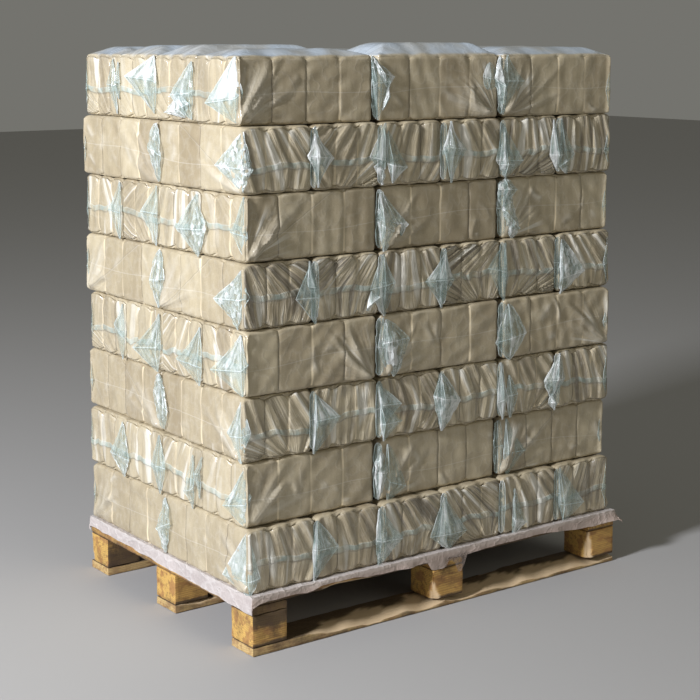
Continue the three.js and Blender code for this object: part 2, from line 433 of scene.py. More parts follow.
class Layer:
    """A layer of packs: how they stand in it, where it lies and how it is turned."""

    def __init__(self, index):
        layout = ACROSS if index % 2 == 0 else ALONG
        self.index = index
        self.is_top = index == len(LAYER_SLIPS) - 1
        self.count = layout["count"]
        self.turned = layout["turned"]
        long_first = (PACK_LENGTH, PACK_WIDTH)
        self.pack = long_first[::-1] if self.turned else long_first
        self.bricks = (BRICKS_WIDE, BRICKS_LONG) if self.turned else (BRICKS_LONG, BRICKS_WIDE)
        self.pitch = [self.pack[i] + layout["gap"][i] for i in (0, 1)]
        self.half = [(self.pitch[i] * self.count[i] - layout["gap"][i]) / 2 for i in (0, 1)]
        slip_x, slip_y, turn = LAYER_SLIPS[index]
        self.slip = np.array([slip_x / 1000, slip_y / 1000])
        self.turn = math.radians(turn)
        self.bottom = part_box(f"pack_layer_{index + 1}")[0].z

    def centre(self, column, row):
        x = (column - (self.count[0] - 1) / 2) * self.pitch[0]
        y = (row - (self.count[1] - 1) / 2) * self.pitch[1]
        return np.array([x, y, 0])

    def outer_sides(self, column, row):
        is_outer = {
            "front": row == 0,
            "right": column == self.count[0] - 1,
            "back": row == self.count[1] - 1,
            "left": column == 0,
        }
        return tuple(side for side in SIDES if is_outer[side])

    def place(self, points):
        """Points of the layer, turned and shifted to where it lies on the pallet."""
        cos, sin = math.cos(self.turn), math.sin(self.turn)
        x = points[:, 0] * cos - points[:, 1] * sin + self.slip[0]
        y = points[:, 0] * sin + points[:, 1] * cos + self.slip[1]
        return np.stack([x, y, points[:, 2] + self.bottom], axis=1)

    def rim(self, run, out):
        """Points at a run along the rim, from the near left corner, and a distance out from it.
        The front has positive runs, the left side negative ones."""
        width, depth = 2 * self.half[0], 2 * self.half[1]
        lap = 2 * (width + depth)
        run = np.mod(run, lap)
        corners = [0, width, width + depth, 2 * width + depth, lap]
        xs = [-self.half[0], self.half[0], self.half[0], -self.half[0], -self.half[0]]
        ys = [-self.half[1], -self.half[1], self.half[1], self.half[1], -self.half[1]]
        flat = np.stack([np.interp(run, corners, xs), np.interp(run, corners, ys)], axis=-1)
        turning = 1.6 * CORNER_ROUND
        inner = np.array(self.half) - turning
        held = np.clip(flat, -inner, inner)
        away = flat - held
        away /= np.linalg.norm(away, axis=-1, keepdims=True)
        return held + away * (turning + out)[..., None]

    def side_run(self, side, along):
        """The run along the rim of a place on one side, along being seen from outside."""
        width, depth = 2 * self.half[0], 2 * self.half[1]
        start = {"front": 0, "right": width, "back": width + depth, "left": -depth}[side]
        return start + self.half[SIDES[side].along] + along

    def boundaries(self, side):
        """Where two packs meet on a side, seen from outside from left to right."""
        axis = SIDES[side].along
        count = self.count[axis]
        return [(i - count / 2) * self.pitch[axis] for i in range(1, count)]


pack_blanks = {}


def pack_blank(layer, outer):
    """A pack's block with a fine mesh where it shows and plain faces where it is hidden."""
    key = (layer.turned, layer.is_top, outer)
    if key in pack_blanks:
        return pack_blanks[key]
    size = (*layer.pack, PACK_HEIGHT)
    blank = add_box("pack_blank", size, (0, 0, PACK_HEIGHT / 2))
    cells = {
        BRICKS_LONG: CELLS_PER_LONG_BRICK * BRICKS_LONG,
        BRICKS_WIDE: CELLS_PER_WIDE_BRICK * BRICKS_WIDE,
    }
    for axis, count in enumerate((cells[layer.bricks[0]], cells[layer.bricks[1]], CELLS_UP)):
        cut_along(blank, axis, count)
    middles = numbers_of(blank.data.polygons, "center")
    shows = np.zeros(len(middles), bool)
    for side in outer:
        shows |= SIDES[side].depth(middles, np.array(size) / 2) < RETURN_DEPTH
    if layer.is_top:
        shows |= middles[:, 2] > PACK_HEIGHT - RETURN_DEPTH
    merge_flat(blank, ~shows)
    pack_blanks[key] = blank
    return blank


def crowd(values, size, bricks):
    """Moves evenly spaced values so that they crowd towards the joints between briquettes."""
    pitch = size / bricks
    phase = (values + size / 2) / pitch * 2 * math.pi
    return values - CELLS_CROWDING * pitch / (2 * math.pi) * np.sin(phase)


def nearest_joint(values, size, bricks):
    """How far each value is from the nearest joint between briquettes, and which joint it is."""
    joints = np.array([size * (i / bricks - 0.5) for i in range(1, bricks)])
    gaps = np.abs(values[:, None] - joints)
    return gaps.min(axis=1), gaps.argmin(axis=1)


def fold(start, end, width, height, bow, crease):
    """A fold in tight film, from its high end to where it runs out."""
    return {
        "start": np.array(start),
        "reach": np.array(end) - np.array(start),
        "width": width,
        "height": height,
        "bow": bow,
        "crease": crease,
    }


def fold_relief(s, z, folds):
    """The height of folds in tight film, steeper on their right, and how creased it is there."""
    height = np.zeros(len(s))
    crease = np.zeros(len(s))
    for one in folds:
        start, reach, width = one["start"], one["reach"], one["width"]
        length = np.hypot(*reach)
        t = ((s - start[0]) * reach[0] + (z - start[1]) * reach[1]) / length ** 2
        down = math.copysign(1, -reach[1])
        across = ((z - start[1]) * reach[0] - (s - start[0]) * reach[1]) / length * down
        across = across - one["bow"] * 4 * t * (1 - t)
        ends = ramp(t, -0.05, 0.10) * ramp(1 - t, 0, 0.45)
        sharper = np.where(across > 0, 0.6 * width, width)
        ridge = ends / np.cosh(np.clip(across / sharper, -20, 20))
        beside = ends * np.exp(-((across / width - 1.7) / 0.8) ** 2)
        height += one["height"] * (ridge - 0.5 * beside)
        crease = np.maximum(crease, ridge * one["crease"])
    return height, crease


def run_of_folds(s, z, seal, half, lean, rng):
    """Where the fold through each point of a pack's end crosses the seal, and how strong it is.
    Folds run from the seal towards one place above the pack and one below it."""
    upper = (-lean * rng.uniform(0.0, 0.2), PACK_HEIGHT + rng.uniform(0.08, 0.4))
    lower = (rng.uniform(-1, 1) * half, -rng.choice([0.03, 0.2, 0.6]))
    is_upper = z > seal
    pole_s = np.where(is_upper, upper[0], lower[0])
    pole_z = np.where(is_upper, upper[1], lower[1])
    gather = (pole_z - seal) / (pole_z - z)
    return pole_s + (s - pole_s) * gather, ramp(-gather, -6, -2)


def long_folds(rng, half, lean):
    """Folds of a pack's long side: shallow ones fanning up from a lower corner, and loose ones."""
    corner = -lean * half
    folds = []
    for _ in range(rng.integers(5, 9)):
        angle = rng.uniform(0.25, 1.3)
        reach = rng.uniform(0.08, 0.24)
        start = (corner + lean * rng.uniform(0, 0.03), rng.uniform(0.002, 0.012))
        rise = min(start[1] + math.sin(angle) * reach, PACK_HEIGHT)
        folds.append(fold(
            start,
            (start[0] + lean * math.cos(angle) * reach, rise),
            width=rng.uniform(0.004, 0.009),
            height=rng.uniform(0.0015, 0.0046),
            bow=rng.uniform(-0.012, 0.012),
            crease=rng.uniform(0.1, 0.5),
        ))
    for _ in range(rng.integers(3, 7)):
        s = rng.uniform(-half, half)
        z = rng.uniform(0.02, 0.12)
        folds.append(fold(
            (s, z),
            (s + rng.uniform(-0.05, 0.05), z + rng.uniform(-0.07, 0.07)),
            width=rng.uniform(0.003, 0.007),
            height=rng.uniform(0.0010, 0.0032),
            bow=rng.uniform(-0.01, 0.01),
            crease=rng.uniform(0.1, 0.8),
        ))
    return folds


# What the finish reads of the film: its run along the side, its height over the seal and which
# kind of side it is on; of the folds, their place across and along them and how strong they are;
# of the joints, how far the nearest is, how much film bridges it and how far the overlap is
ON_LONG_SIDE, ON_TOP, ON_END = 0.0, 0.5, 1.0
NO_SEAL = 0.3
NO_JOINT = 0.03
NO_OVERLAP = 1.0
UNMARKED = {"film_line": (0, NO_SEAL, 0), "fan": (0, 0, 0), "joint": (NO_JOINT, 0, NO_OVERLAP)}

# The groove in the film at a joint, and where the film bridges it
GROOVE_HALF = 0.0022
GROOVE_DEPTH = 0.0018
BRIDGED_DEPTH = 0.0004
# The film on a pack's long sides and on its ends: the chance that it bridges a joint, how deep it
# sinks beside one and into one at the rim, how it wavers, and how unevenly the briquettes stand
LONG_SIDE_FILM = {"bridging": 0.5, "valley": 0.0002, "notch": 0.005, "waver": 0.0012, "uneven": 0.5}
END_FILM = {"bridging": 0.6, "valley": 0.0012, "notch": 0.018, "waver": 0.0008, "uneven": 1.0}


def side_relief(s, z, size, bricks, contrast, rng):
    """One visible side of a pack: how far its film stands out, how deep it dents at the joints,
    how far its briquettes drop at the rim, and what its finish reads."""
    half = size / 2
    is_end = bricks == BRICKS_WIDE
    film = END_FILM if is_end else LONG_SIDE_FILM
    lean = 1 if rng.random() < 0.75 else -1
    from_edge = np.minimum(z, PACK_HEIGHT - z)
    at_joint, which = nearest_joint(s, size, bricks)
    bridged = (rng.random(bricks - 1) < film["bridging"])[which]
    out = -np.where(bridged, BRIDGED_DEPTH, GROOVE_DEPTH) * np.exp(-(at_joint / GROOVE_HALF) ** 2)
    out -= film["valley"] * np.exp(-(at_joint / 0.007) ** 2)
    dent = film["notch"] * np.exp(-from_edge / 0.009) * np.exp(-(at_joint / 0.010) ** 2)
    brick = np.clip(np.floor((s + half) / size * bricks), 0, bricks - 1).astype(int)
    out += rng.uniform(-0.0014, 0.0008, bricks)[brick] * film["uneven"]
    out += film["waver"] * waves(np.stack([s, z], axis=1), 0.06, any_seed(rng))
    drop = rng.uniform(0, 0.003, bricks)[brick]
    if is_end:
        at_head_end = np.minimum(at_joint, half - np.abs(s))
        drop += 0.006 * np.exp(-(at_head_end / 0.010) ** 2)
    seal = PACK_HEIGHT * rng.uniform(0.37, 0.5)
    tilt = rng.normal(0, 0.035)
    sag = 0.004 * np.sin(s / half * math.pi + rng.uniform(0, 6))
    over_seal = z - seal - tilt * s - sag
    if is_end:
        place, strength = run_of_folds(s, z, seal, half, lean, rng)
        strength *= contrast
        crease = np.zeros(len(s))
        over_seal += 0.0022 * waves(place[:, None], 0.05, any_seed(rng))
        out += 0.0014 * strength * waves(place[:, None], 0.042, any_seed(rng))
        out += 0.0016 * ramp(0.009 - np.abs(over_seal), 0, 0.003)
        out -= 0.003 * ramp(np.abs(s), half * 0.9, half * 1.02)
        strength *= rng.uniform(0.4, 1.0)
    else:
        folded, crease = fold_relief(s, z, long_folds(rng, half, lean))
        out += folded
        away = np.hypot(s + lean * half, z)
        place = 0.16 * np.arctan2(np.abs(s + lean * half), z)
        strength = 0.45 * contrast * ramp(away, 0.01, 0.05) * ramp(-away, -0.2, -0.1) ** 2
        strength *= rng.uniform(0.2, 1.0)
    overlap = np.full(len(s), NO_OVERLAP)
    if not is_end and rng.random() < 0.3:
        slope = lean * rng.uniform(0.5, 0.75)
        overlap = ((s + lean * half * 0.98) * slope - z) / math.hypot(1, slope)
    side_kind = np.full(len(s), ON_END if is_end else ON_LONG_SIDE)
    # How much film bridges each joint, which also sets the painted light along it, varying up the side
    bridging = bridged * rng.uniform(0.5, 1.0, bricks - 1)[which]
    bridging *= 0.65 + 0.35 * np.cos(z * rng.uniform(15, 60))
    return {
        "out": out,
        "dent": dent,
        "drop": drop,
        "crease": crease,
        "film_line": np.stack([s + rng.uniform(0, 9), over_seal, side_kind], axis=1),
        "fan": np.stack([place + rng.uniform(0, 9), 0.12 * z, strength], axis=1),
        "joint": np.stack([at_joint, bridging, overlap], axis=1),
    }


# How far the film puffs up over the packs of the uppermost layer in millimetres: a line for each
# column from the left, its rows from the front
TOP_PUFFS = [
    (18, 27, 25, 21),
    (32, 16, 14, 13),
    (20, 21, 18, 16),
]


def top_relief(x, y, layer, column, row, rng):
    """The same for the top of a pack of the uppermost layer, where the film lies loose."""
    half_x, half_y = layer.pack[0] / 2, layer.pack[1] / 2
    edge = np.minimum(half_x - np.abs(x), half_y - np.abs(y))
    out = TOP_PUFFS[column][row] / 1000 * ramp(edge, -0.01, 0.065)
    out += 0.0012 * waves(np.stack([x, y], axis=1), 0.08, any_seed(rng))
    from_end = half_x - np.abs(x)
    place = 0.1 * np.arctan2(y, from_end + 0.05)
    strength = 0.5 * ramp(-from_end, -0.12, 0)
    nothing = np.zeros(len(x))
    return {
        "out": out,
        "dent": nothing,
        "drop": nothing,
        "crease": nothing,
        "film_line": np.stack([x, nothing + NO_SEAL, nothing + ON_TOP], axis=1),
        "fan": np.stack([place + rng.uniform(0, 9), 0.1 * from_end, strength], axis=1),
        "joint": np.stack([nothing + NO_JOINT, nothing, nothing + NO_OVERLAP], axis=1),
    }


def round_edges(from_middle, half):
    """The points of a box with its edges rounded, and the way out at each."""
    held = np.clip(from_middle, CORNER_ROUND - half, half - CORNER_ROUND)
    away = from_middle - held
    normal = away / np.maximum(np.linalg.norm(away, axis=1, keepdims=True), 1e-9)
    return held + normal * CORNER_ROUND, normal


def make_pack(layer, column, row):
    """One pack, its film drawn over the briquettes, placed in its layer."""
    outer = layer.outer_sides(column, row)
    blank = pack_blank(layer, outer)
    pack = blank.copy()
    pack.data = blank.data.copy()
    bpy.context.collection.objects.link(pack)
    grid = points_of(pack)
    count = len(grid)
    half = np.array([*layer.pack, PACK_HEIGHT]) / 2
    middle = np.array([0, 0, PACK_HEIGHT / 2])
    for axis in (0, 1):
        grid[:, axis] = crowd(grid[:, axis], layer.pack[axis], layer.bricks[axis])
    grid[:, 2] = crowd(grid[:, 2] - PACK_HEIGHT / 2, PACK_HEIGHT, 1) + PACK_HEIGHT / 2
    from_middle = grid - middle
    rounded, normal = round_edges(from_middle, half)

    # What each visible side does to the points near it; the finish reads the one they face most
    marks = {name: np.tile(np.array(values, float), (count, 1)) for name, values in UNMARKED.items()}
    crease, push, drop, dent, haze = (np.zeros(count) for _ in range(5))
    shows = np.zeros(count, bool)
    strongest = np.full(count, 0.2)
    faces = {name: SIDES[name] for name in outer}
    if layer.is_top:
        faces["top"] = Side(*TOP)
    for number, (name, side) in enumerate(faces.items()):
        rng = np.random.default_rng((layer.index, column, row, number, len(name)))
        depth = side.depth(from_middle, half)
        shows |= depth < RETURN_DEPTH * 0.8
        facing = np.clip(normal[:, side.axis] * side.sign, 0, 1)
        weight = facing ** 2
        if name == "top":
            found = top_relief(grid[:, 0], grid[:, 1], layer, column, row, rng)
        else:
            run = side.run * grid[:, side.along]
            size, bricks = layer.pack[side.along], layer.bricks[side.along]
            found = side_relief(run, grid[:, 2], size, bricks, FOLD_CONTRAST[side.axis], rng)
        push += found["out"] * weight
        dent = np.maximum(dent, found["dent"] * ramp(facing, 0.1, 0.5))
        drop = np.maximum(drop, found["drop"] * ramp(-depth, -0.02, 0))
        crease = np.maximum(crease, found["crease"] * weight)
        found["fan"][:, 2] *= ramp(weight, 0.5, 0.95)
        wins = weight > strongest
        for mark, values in marks.items():
            values[wins] = found[mark][wins]
        strongest = np.maximum(strongest, weight)
    if layer.is_top:
        # Where the top film is painted with a reflection of the sky: on top, away from the outer edges
        haze = ramp(normal[:, 2], 0.8, 0.99)
        for name in outer:
            haze *= ramp(SIDES[name].depth(from_middle, half), 0.004, 0.014)
        drop *= 0.4

    # A tone for each briquette, and the pack's own small slip in its layer
    rng = np.random.default_rng((layer.index, column, row))
    tones = rng.normal(0.5, 0.2, (4, 4))
    across, along = (
        np.clip((grid[:, i] / layer.pack[i] + 0.5) * layer.bricks[i], 0, 3.99).astype(int)
        for i in (0, 1)
    )
    shift = np.array([rng.normal(0, 0.0007), rng.normal(0, 0.0007), 0])

    points = middle + rounded + normal * (push - dent)[:, None]
    for side in (SIDES[name] for name in outer):
        if layer.bricks[side.along] == BRICKS_WIDE:
            near_end = ramp(-side.depth(from_middle, half), -0.015, -0.003)
            points[:, side.along] *= 1 + near_end * END_SPREAD / half[side.along]
    points[:, 2] -= drop * ramp(grid[:, 2], PACK_HEIGHT - 0.02, PACK_HEIGHT)
    points[:, 2] += 0.5 * drop * ramp(-grid[:, 2], -0.02, 0)
    points = np.where(shows[:, None], points, grid)
    set_points(pack, layer.place(points + layer.centre(column, row) + shift))
    marks.update(crease=crease, haze=haze, tone=tones[across, along])
    for name, values in marks.items():
        set_attribute(pack, name, values)
    return pack


def make_core(layer):
    """The plain middle of a layer, behind the gaps between its packs."""
    height = PACK_HEIGHT - (CORE_BELOW if layer.is_top else 0.001)
    size = (2 * (layer.half[0] - CORE_INSET), 2 * (layer.half[1] - CORE_INSET), height)
    core = add_box("core", size, (0, 0, height / 2))
    set_points(core, layer.place(points_of(core)))
    return core


def make_layer(layer, material):
    packs = []
    for column in range(layer.count[0]):
        for row in range(layer.count[1]):
            if layer.outer_sides(column, row) or layer.is_top:
                packs.append(make_pack(layer, column, row))
    packs.append(make_core(layer))
    joined = join_as(f"packs_of_layer_{layer.index + 1}", packs)
    hand_over(joined, material, f"pack_layer_{layer.index + 1}")


# Film that stands off the packs: its folded corners hang between them as flat kite-shaped leaves

LEAF_COLUMNS = 10
LEAF_ROWS = 20
FILM_THICK = 0.0005
LEAF_EDGE_OFF = 0.003  # how far a leaf's edges stand off the packs
LEAF_LEAST_OFF = 0.0016  # the least that any of it does
LEAF_NECK = 0.0025  # half its width at its top and its foot
LEAF_SEED = 40


def leaf(top, left, foot, right, tones, crumple=0.15, stand=13, pinch=1.0):
    """A leaf of folded film: its four points in millimetres, from where two packs meet and from
    the layer's bottom, and how white its four facets are: upper left, upper right, lower left,
    lower right. Clear film reads 0, film in many folds reads 1; the tones also hold painted
    highlights and painted shade, by how each facet faces the light."""
    return {
        "points": np.array([top, left, foot, right]) / 1000,
        "tones": tones,
        "crumple": crumple,
        "stand": stand / 1000,
        "pinch": pinch,
    }


# Leaves on the front, by layer and by the place where two packs meet there, both counted from one;
# the back has the same, as seen from there
FRONT_LEAVES = {
    (8, 1): [
        leaf((-13, 158), (-12, 85), (6, 4), (37, 97), (0.2, 0.3, 0.25, 0.1), 0.3),
        leaf((-9, 156), (4, 124), (34, 82), (52, 107), (0.8, 0.7, 0.9, 0.6), 0.9, 20),
        leaf((40, 87), (27, 61), (21, 27), (37, 58), (0.9, 0.3, 0.9, 0.3), 0.2, 16),
    ],
    (8, 2): [
        leaf((19, 158), (-1, 92), (7, 6), (72, 91), (0.1, 0.15, 0.15, 0.2), 0.5),
        leaf((-39, 139), (-63, 104), (-45, 71), (-12, 92), (0.6, 0.2, 0.3, 0.1), 0.1, 10, 0.6),
        leaf((-6, 156), (-25, 98), (4, 10), (14, 59), (0.9, 0.5, 0.5, 0.3), 0.8, 20),
    ],
    (7, 1): [leaf((5, 152), (-17, 85), (14, 8), (57, 76), (0.75, 0.6, 0.8, 0.5), 0.4, 16, 1.5)],
    (7, 2): [
        leaf((15, 154), (-34, 74), (6, 35), (20, 56), (0.45, 0.4, 0.3, 0.3), 0.1),
        leaf((21, 140), (20, 56), (38, 7), (79, 44), (0.1, 0.15, 0.5, 0.7), 0.1, 16),
        leaf((2, 60), (-20, 50), (6, 4), (10, 30), (0.9, 0.8, 0.8, 0.5), 0.4, 10),
    ],
    (7, 3): [leaf((24, 152), (-1, 91), (27, -2), (73, 80), (0.8, 0.6, 0.3, 0.35), 0.4, 16, 1.4)],
    (7, 4): [
        leaf((1, 140), (-25, 48), (13, 0), (67, 44), (0.3, 0.2, 0.8, 0.2), 0.2, 12, 1.2),
        leaf((7, 132), (-14, 37), (9, 2), (37, 34), (0.6, 0.3, 0.5, 0.4), 0.4, 17),
    ],
    (7, 5): [
        leaf((10, 149), (3, 21), (32, 2), (52, 53), (0.3, 0.2, 0.4, 0.2), 0.3),
        leaf((-18, 146), (-34, 54), (-2, 10), (11, 52), (0.8, 0.4, 0.9, 0.6), 0.3, 16),
    ],
    (6, 1): [
        leaf((10, 139), (34, 69), (70, 32), (85, 60), (0.45, 0.3, 0.2, 0.75), 0.4, 10),
        leaf((3, 146), (-7, 72), (14, -6), (44, 44), (0.45, 0.5, 0.65, 0.7), 0.5, 17, 0.8),
    ],
    (6, 2): [
        leaf((16, 154), (3, 81), (37, -2), (61, 23), (0.5, 0.4, 0.45, 0.6), 0.9, 14, 0.7),
        leaf((13, 156), (-17, 129), (7, 81), (47, 126), (0.7, 0.6, 0.5, 0.4), 0.7, 17, 0.7),
    ],
    (5, 1): [
        leaf((-9, 141), (-57, 64), (3, -1), (10, 61), (0.0, 0.3, 0.3, 0.4), 0.0, 10),
        leaf((-14, 150), (-22, 90), (-2, 70), (6, 84), (0.3, 0.1, 0.2, 0.1), 0.1, 13),
    ],
    (5, 2): [
        leaf((9, 149), (-36, 67), (12, -4), (38, 78), (0.35, 0.15, 0.4, 0.2), 0.1, 12),
        leaf((-28, 61), (-45, 22), (-40, 14), (-9, 46), (0.9, 0.6, 0.9, 0.5), 0.1, 16),
    ],
    (5, 3): [leaf((8, 147), (-58, 70), (-4, -2), (31, 68), (0.6, 0.5, 0.25, 0.2), 0.3, 14, 1.3)],
    (5, 4): [leaf((12, 147), (-49, 86), (9, -6), (16, 58), (0.2, 0.25, 0.15, 0.3), 0.1, 12)],
    (5, 5): [leaf((14, 142), (8, 25), (13, -6), (95, 51), (0.7, 0.5, 0.5, 0.75), 0.7, 14, 0.9)],
    (4, 1): [
        leaf((21, 145), (6, 86), (44, 0), (87, 93), (0.6, 0.15, 0.45, 0.35), 0.9, 16, 0.65),
        leaf((12, 150), (-8, 80), (30, 4), (14, 66), (0.3, 0.2, 0.5, 0.2), 0.2, 10),
    ],
    (4, 2): [leaf((22, 144), (-21, 47), (29, -4), (81, 62), (0.3, 0.35, 0.1, 0.75), 0.4, 16, 0.8)],
    (3, 1): [leaf((9, 140), (3, 74), (3, -4), (76, 79), (0.5, 0.55, 0.45, 0.35), 0.1, 12)],
    (3, 2): [
        leaf((-3, 142), (4, 91), (16, 34), (67, 85), (0.45, 0.3, 0.2, 0.2), 0.2, 10),
        leaf((6, 96), (4, 42), (16, -4), (68, 41), (0.1, 0.2, 0.4, 0.3), 0.2, 16),
    ],
    (3, 3): [leaf((0, 144), (-26, 89), (4, -5), (59, 68), (0.4, 0.45, 0.7, 0.6), 0.6, 16, 0.8)],
    (3, 4): [
        leaf((1, 148), (-13, 44), (11, -4), (18, 57), (0.75, 0.5, 0.7, 0.5), 0.2, 14),
        leaf((31, 112), (18, 57), (35, -2), (57, 59), (0.3, 0.35, 0.4, 0.3), 0.2, 10),
    ],
    (3, 5): [
        leaf((11, 150), (-46, 81), (-14, 28), (25, 78), (0.7, 0.5, 0.45, 0.5), 0.6, 16),
        leaf((-14, 42), (-30, 20), (-4, -4), (-2, 16), (0.7, 0.5, 0.6, 0.5), 0.3, 12),
    ],
    (2, 1): [
        leaf((9, 140), (-11, 77), (5, 4), (27, 71), (0.8, 0.5, 0.9, 0.7), 0.7, 16, 0.8),
        leaf((33, 142), (22, 66), (34, -6), (86, 27), (0.3, 0.05, 0.35, 0.2), 0.2, 12, 0.8),
    ],
    (2, 2): [leaf((30, 150), (20, 60), (36, -6), (96, 56), (0.25, 0.3, 0.3, 0.25), 0.1, 12)],
    (1, 1): [leaf((1, 148), (-12, 80), (-8, 0), (62, 74), (0.7, 0.4, 0.5, 0.3), 0.2, 12)],
    (1, 2): [leaf((-8, 146), (-21, 67), (-9, -4), (61, 58), (0.6, 0.35, 0.4, 0.4), 0.3, 13)],
    (1, 3): [leaf((2, 140), (-45, 43), (21, -1), (74, 40), (0.55, 0.4, 0.4, 0.3), 0.2, 16)],
    (1, 4): [leaf((46, 120), (38, 46), (42, -4), (86, 23), (0.3, 0.35, 0.5, 0.9), 0.4, 13)],
    (1, 5): [leaf((13, 150), (9, 52), (27, 0), (100, 42), (0.4, 0.3, 0.2, 0.25), 0.1, 13)],
}
# The same on the left, from the far end; the right side has the same
LEFT_LEAVES = {
    (8, 1): [
        leaf((-30, 148), (-58, 82), (-9, 8), (-12, 80), (0.15, 0.35, 0.15, 0.25), 0.3),
        leaf((-1, 140), (-17, 88), (-1, 46), (9, 89), (0.45, 0.25, 0.35, 0.15), 0.2, 13),
    ],
    (8, 2): [leaf((-2, 158), (-150, 105), (-3, 16), (12, 90), (0.85, 0.6, 0.35, 0.15), 0.3, 12)],
    (8, 3): [
        leaf((-9, 145), (-107, 64), (-12, 8), (-3, 77), (0.3, 0.2, 0.3, 0.2), 0.4),
        leaf((-82, 72), (-129, 20), (-43, 11), (-18, 46), (0.8, 0.7, 0.85, 0.5), 0.9, 13),
    ],
    (7, 1): [leaf((0, 150), (-34, 90), (4, 6), (26, 70), (0.3, 0.35, 0.25, 0.3), 0.9, 12, 0.6)],
    (6, 1): [leaf((-6, 148), (-55, 73), (-8, 0), (3, 69), (0.1, 0.15, 0.15, 0.1), 0.3)],
    (6, 2): [leaf((-10, 152), (-82, 83), (-14, 2), (-3, 84), (0.1, 0.15, 0.1, 0.2), 0.3)],
    (6, 3): [leaf((-12, 147), (-98, 56), (-6, -4), (34, 66), (0.25, 0.35, 0.2, 0.3), 0.8, 12)],
    (5, 1): [leaf((2, 150), (-40, 70), (-4, 4), (30, 80), (0.25, 0.3, 0.35, 0.25), 0.9, 12, 0.6)],
    (4, 1): [leaf((-10, 145), (-50, 87), (-12, -1), (6, 52), (0.1, 0.05, 0.15, 0.1), 0.3)],
    (4, 2): [leaf((-10, 145), (-140, 40), (-20, -4), (2, 79), (0.3, 0.25, 0.15, 0.15), 0.3, 12)],
    (4, 3): [leaf((-4, 140), (-109, 46), (-8, -4), (8, 44), (0.25, 0.2, 0.15, 0.15), 0.3, 11)],
    (3, 1): [leaf((-4, 148), (-30, 100), (6, 10), (36, 60), (0.3, 0.25, 0.3, 0.2), 0.9, 12, 0.6)],
    (2, 1): [leaf((-8, 146), (-66, 54), (-2, -1), (28, 51), (0.2, 0.35, 0.25, 0.4), 0.7, 11)],
    (2, 2): [leaf((-10, 148), (-40, 69), (-8, -4), (28, 70), (0.1, 0.15, 0.1, 0.2), 0.3)],
    (2, 3): [
        leaf((-34, 132), (-72, 33), (-38, -4), (-26, 56), (0.25, 0.2, 0.2, 0.05), 0.3),
        leaf((6, 136), (-24, 87), (-5, 30), (4, 100), (0.3, 0.15, 0.25, 0.1), 0.2, 12),
    ],
    (1, 1): [leaf((4, 148), (-28, 60), (0, 4), (34, 90), (0.2, 0.25, 0.3, 0.25), 0.9, 12, 0.6)],
}
# Film drawn across the gap behind those leaves, between packs that lie across and along
ACROSS_WEB = leaf((0, 149), (-10, 80), (0, 8), (10, 80), (0.3, 0.3, 0.35, 0.3), 0.1, 3.5, 0.2)
ALONG_WEB = leaf((0, 150), (-13, 80), (0, 8), (13, 80), (0.1, 0.15, 0.1, 0.15), 0.5, 5, 0.2)
# The leaf of the pack at the near left corner, reaching from its edge over the left side and the
# front, from the lowest layer up
CORNER_LEAVES = [
    leaf((-5, 150), (-105, 25), (0, -4), (24, 42), (0.5, 0.4, 0.3, 0.25), 0.3, 6),
    leaf((2, 148), (-83, 39), (4, 4), (12, 79), (0.3, 0.3, 0.25, 0.2), 0.5, 6),
    leaf((-8, 148), (-74, 53), (-10, 0), (14, 73), (0.4, 0.3, 0.2, 0.2), 0.5, 6),
    leaf((-12, 148), (-135, 47), (-7, 4), (6, 80), (0.45, 0.4, 0.15, 0.15), 0.3, 6),
    leaf((-8, 145), (-130, 62), (-30, 0), (6, 80), (0.4, 0.35, 0.35, 0.25), 0.9, 6),
    leaf((-2, 154), (-45, 70), (-4, 20), (6, 60), (0.15, 0.2, 0.15, 0.15), 0.2, 5),
    leaf((-5, 145), (-116, 63), (-6, 8), (16, 59), (0.35, 0.45, 0.6, 0.5), 0.9, 7),
    leaf((-8, 158), (-132, 49), (-5, 8), (10, 77), (0.9, 0.8, 0.25, 0.1), 0.4, 6),
]
# The leaf at the near right and the far left corner; the far right one has the near left one's
PLAIN_CORNER_LEAF = leaf((2, 140), (-20, 60), (0, 10), (16, 70), (0.2, 0.15, 0.15, 0.2), 0.4, 5)


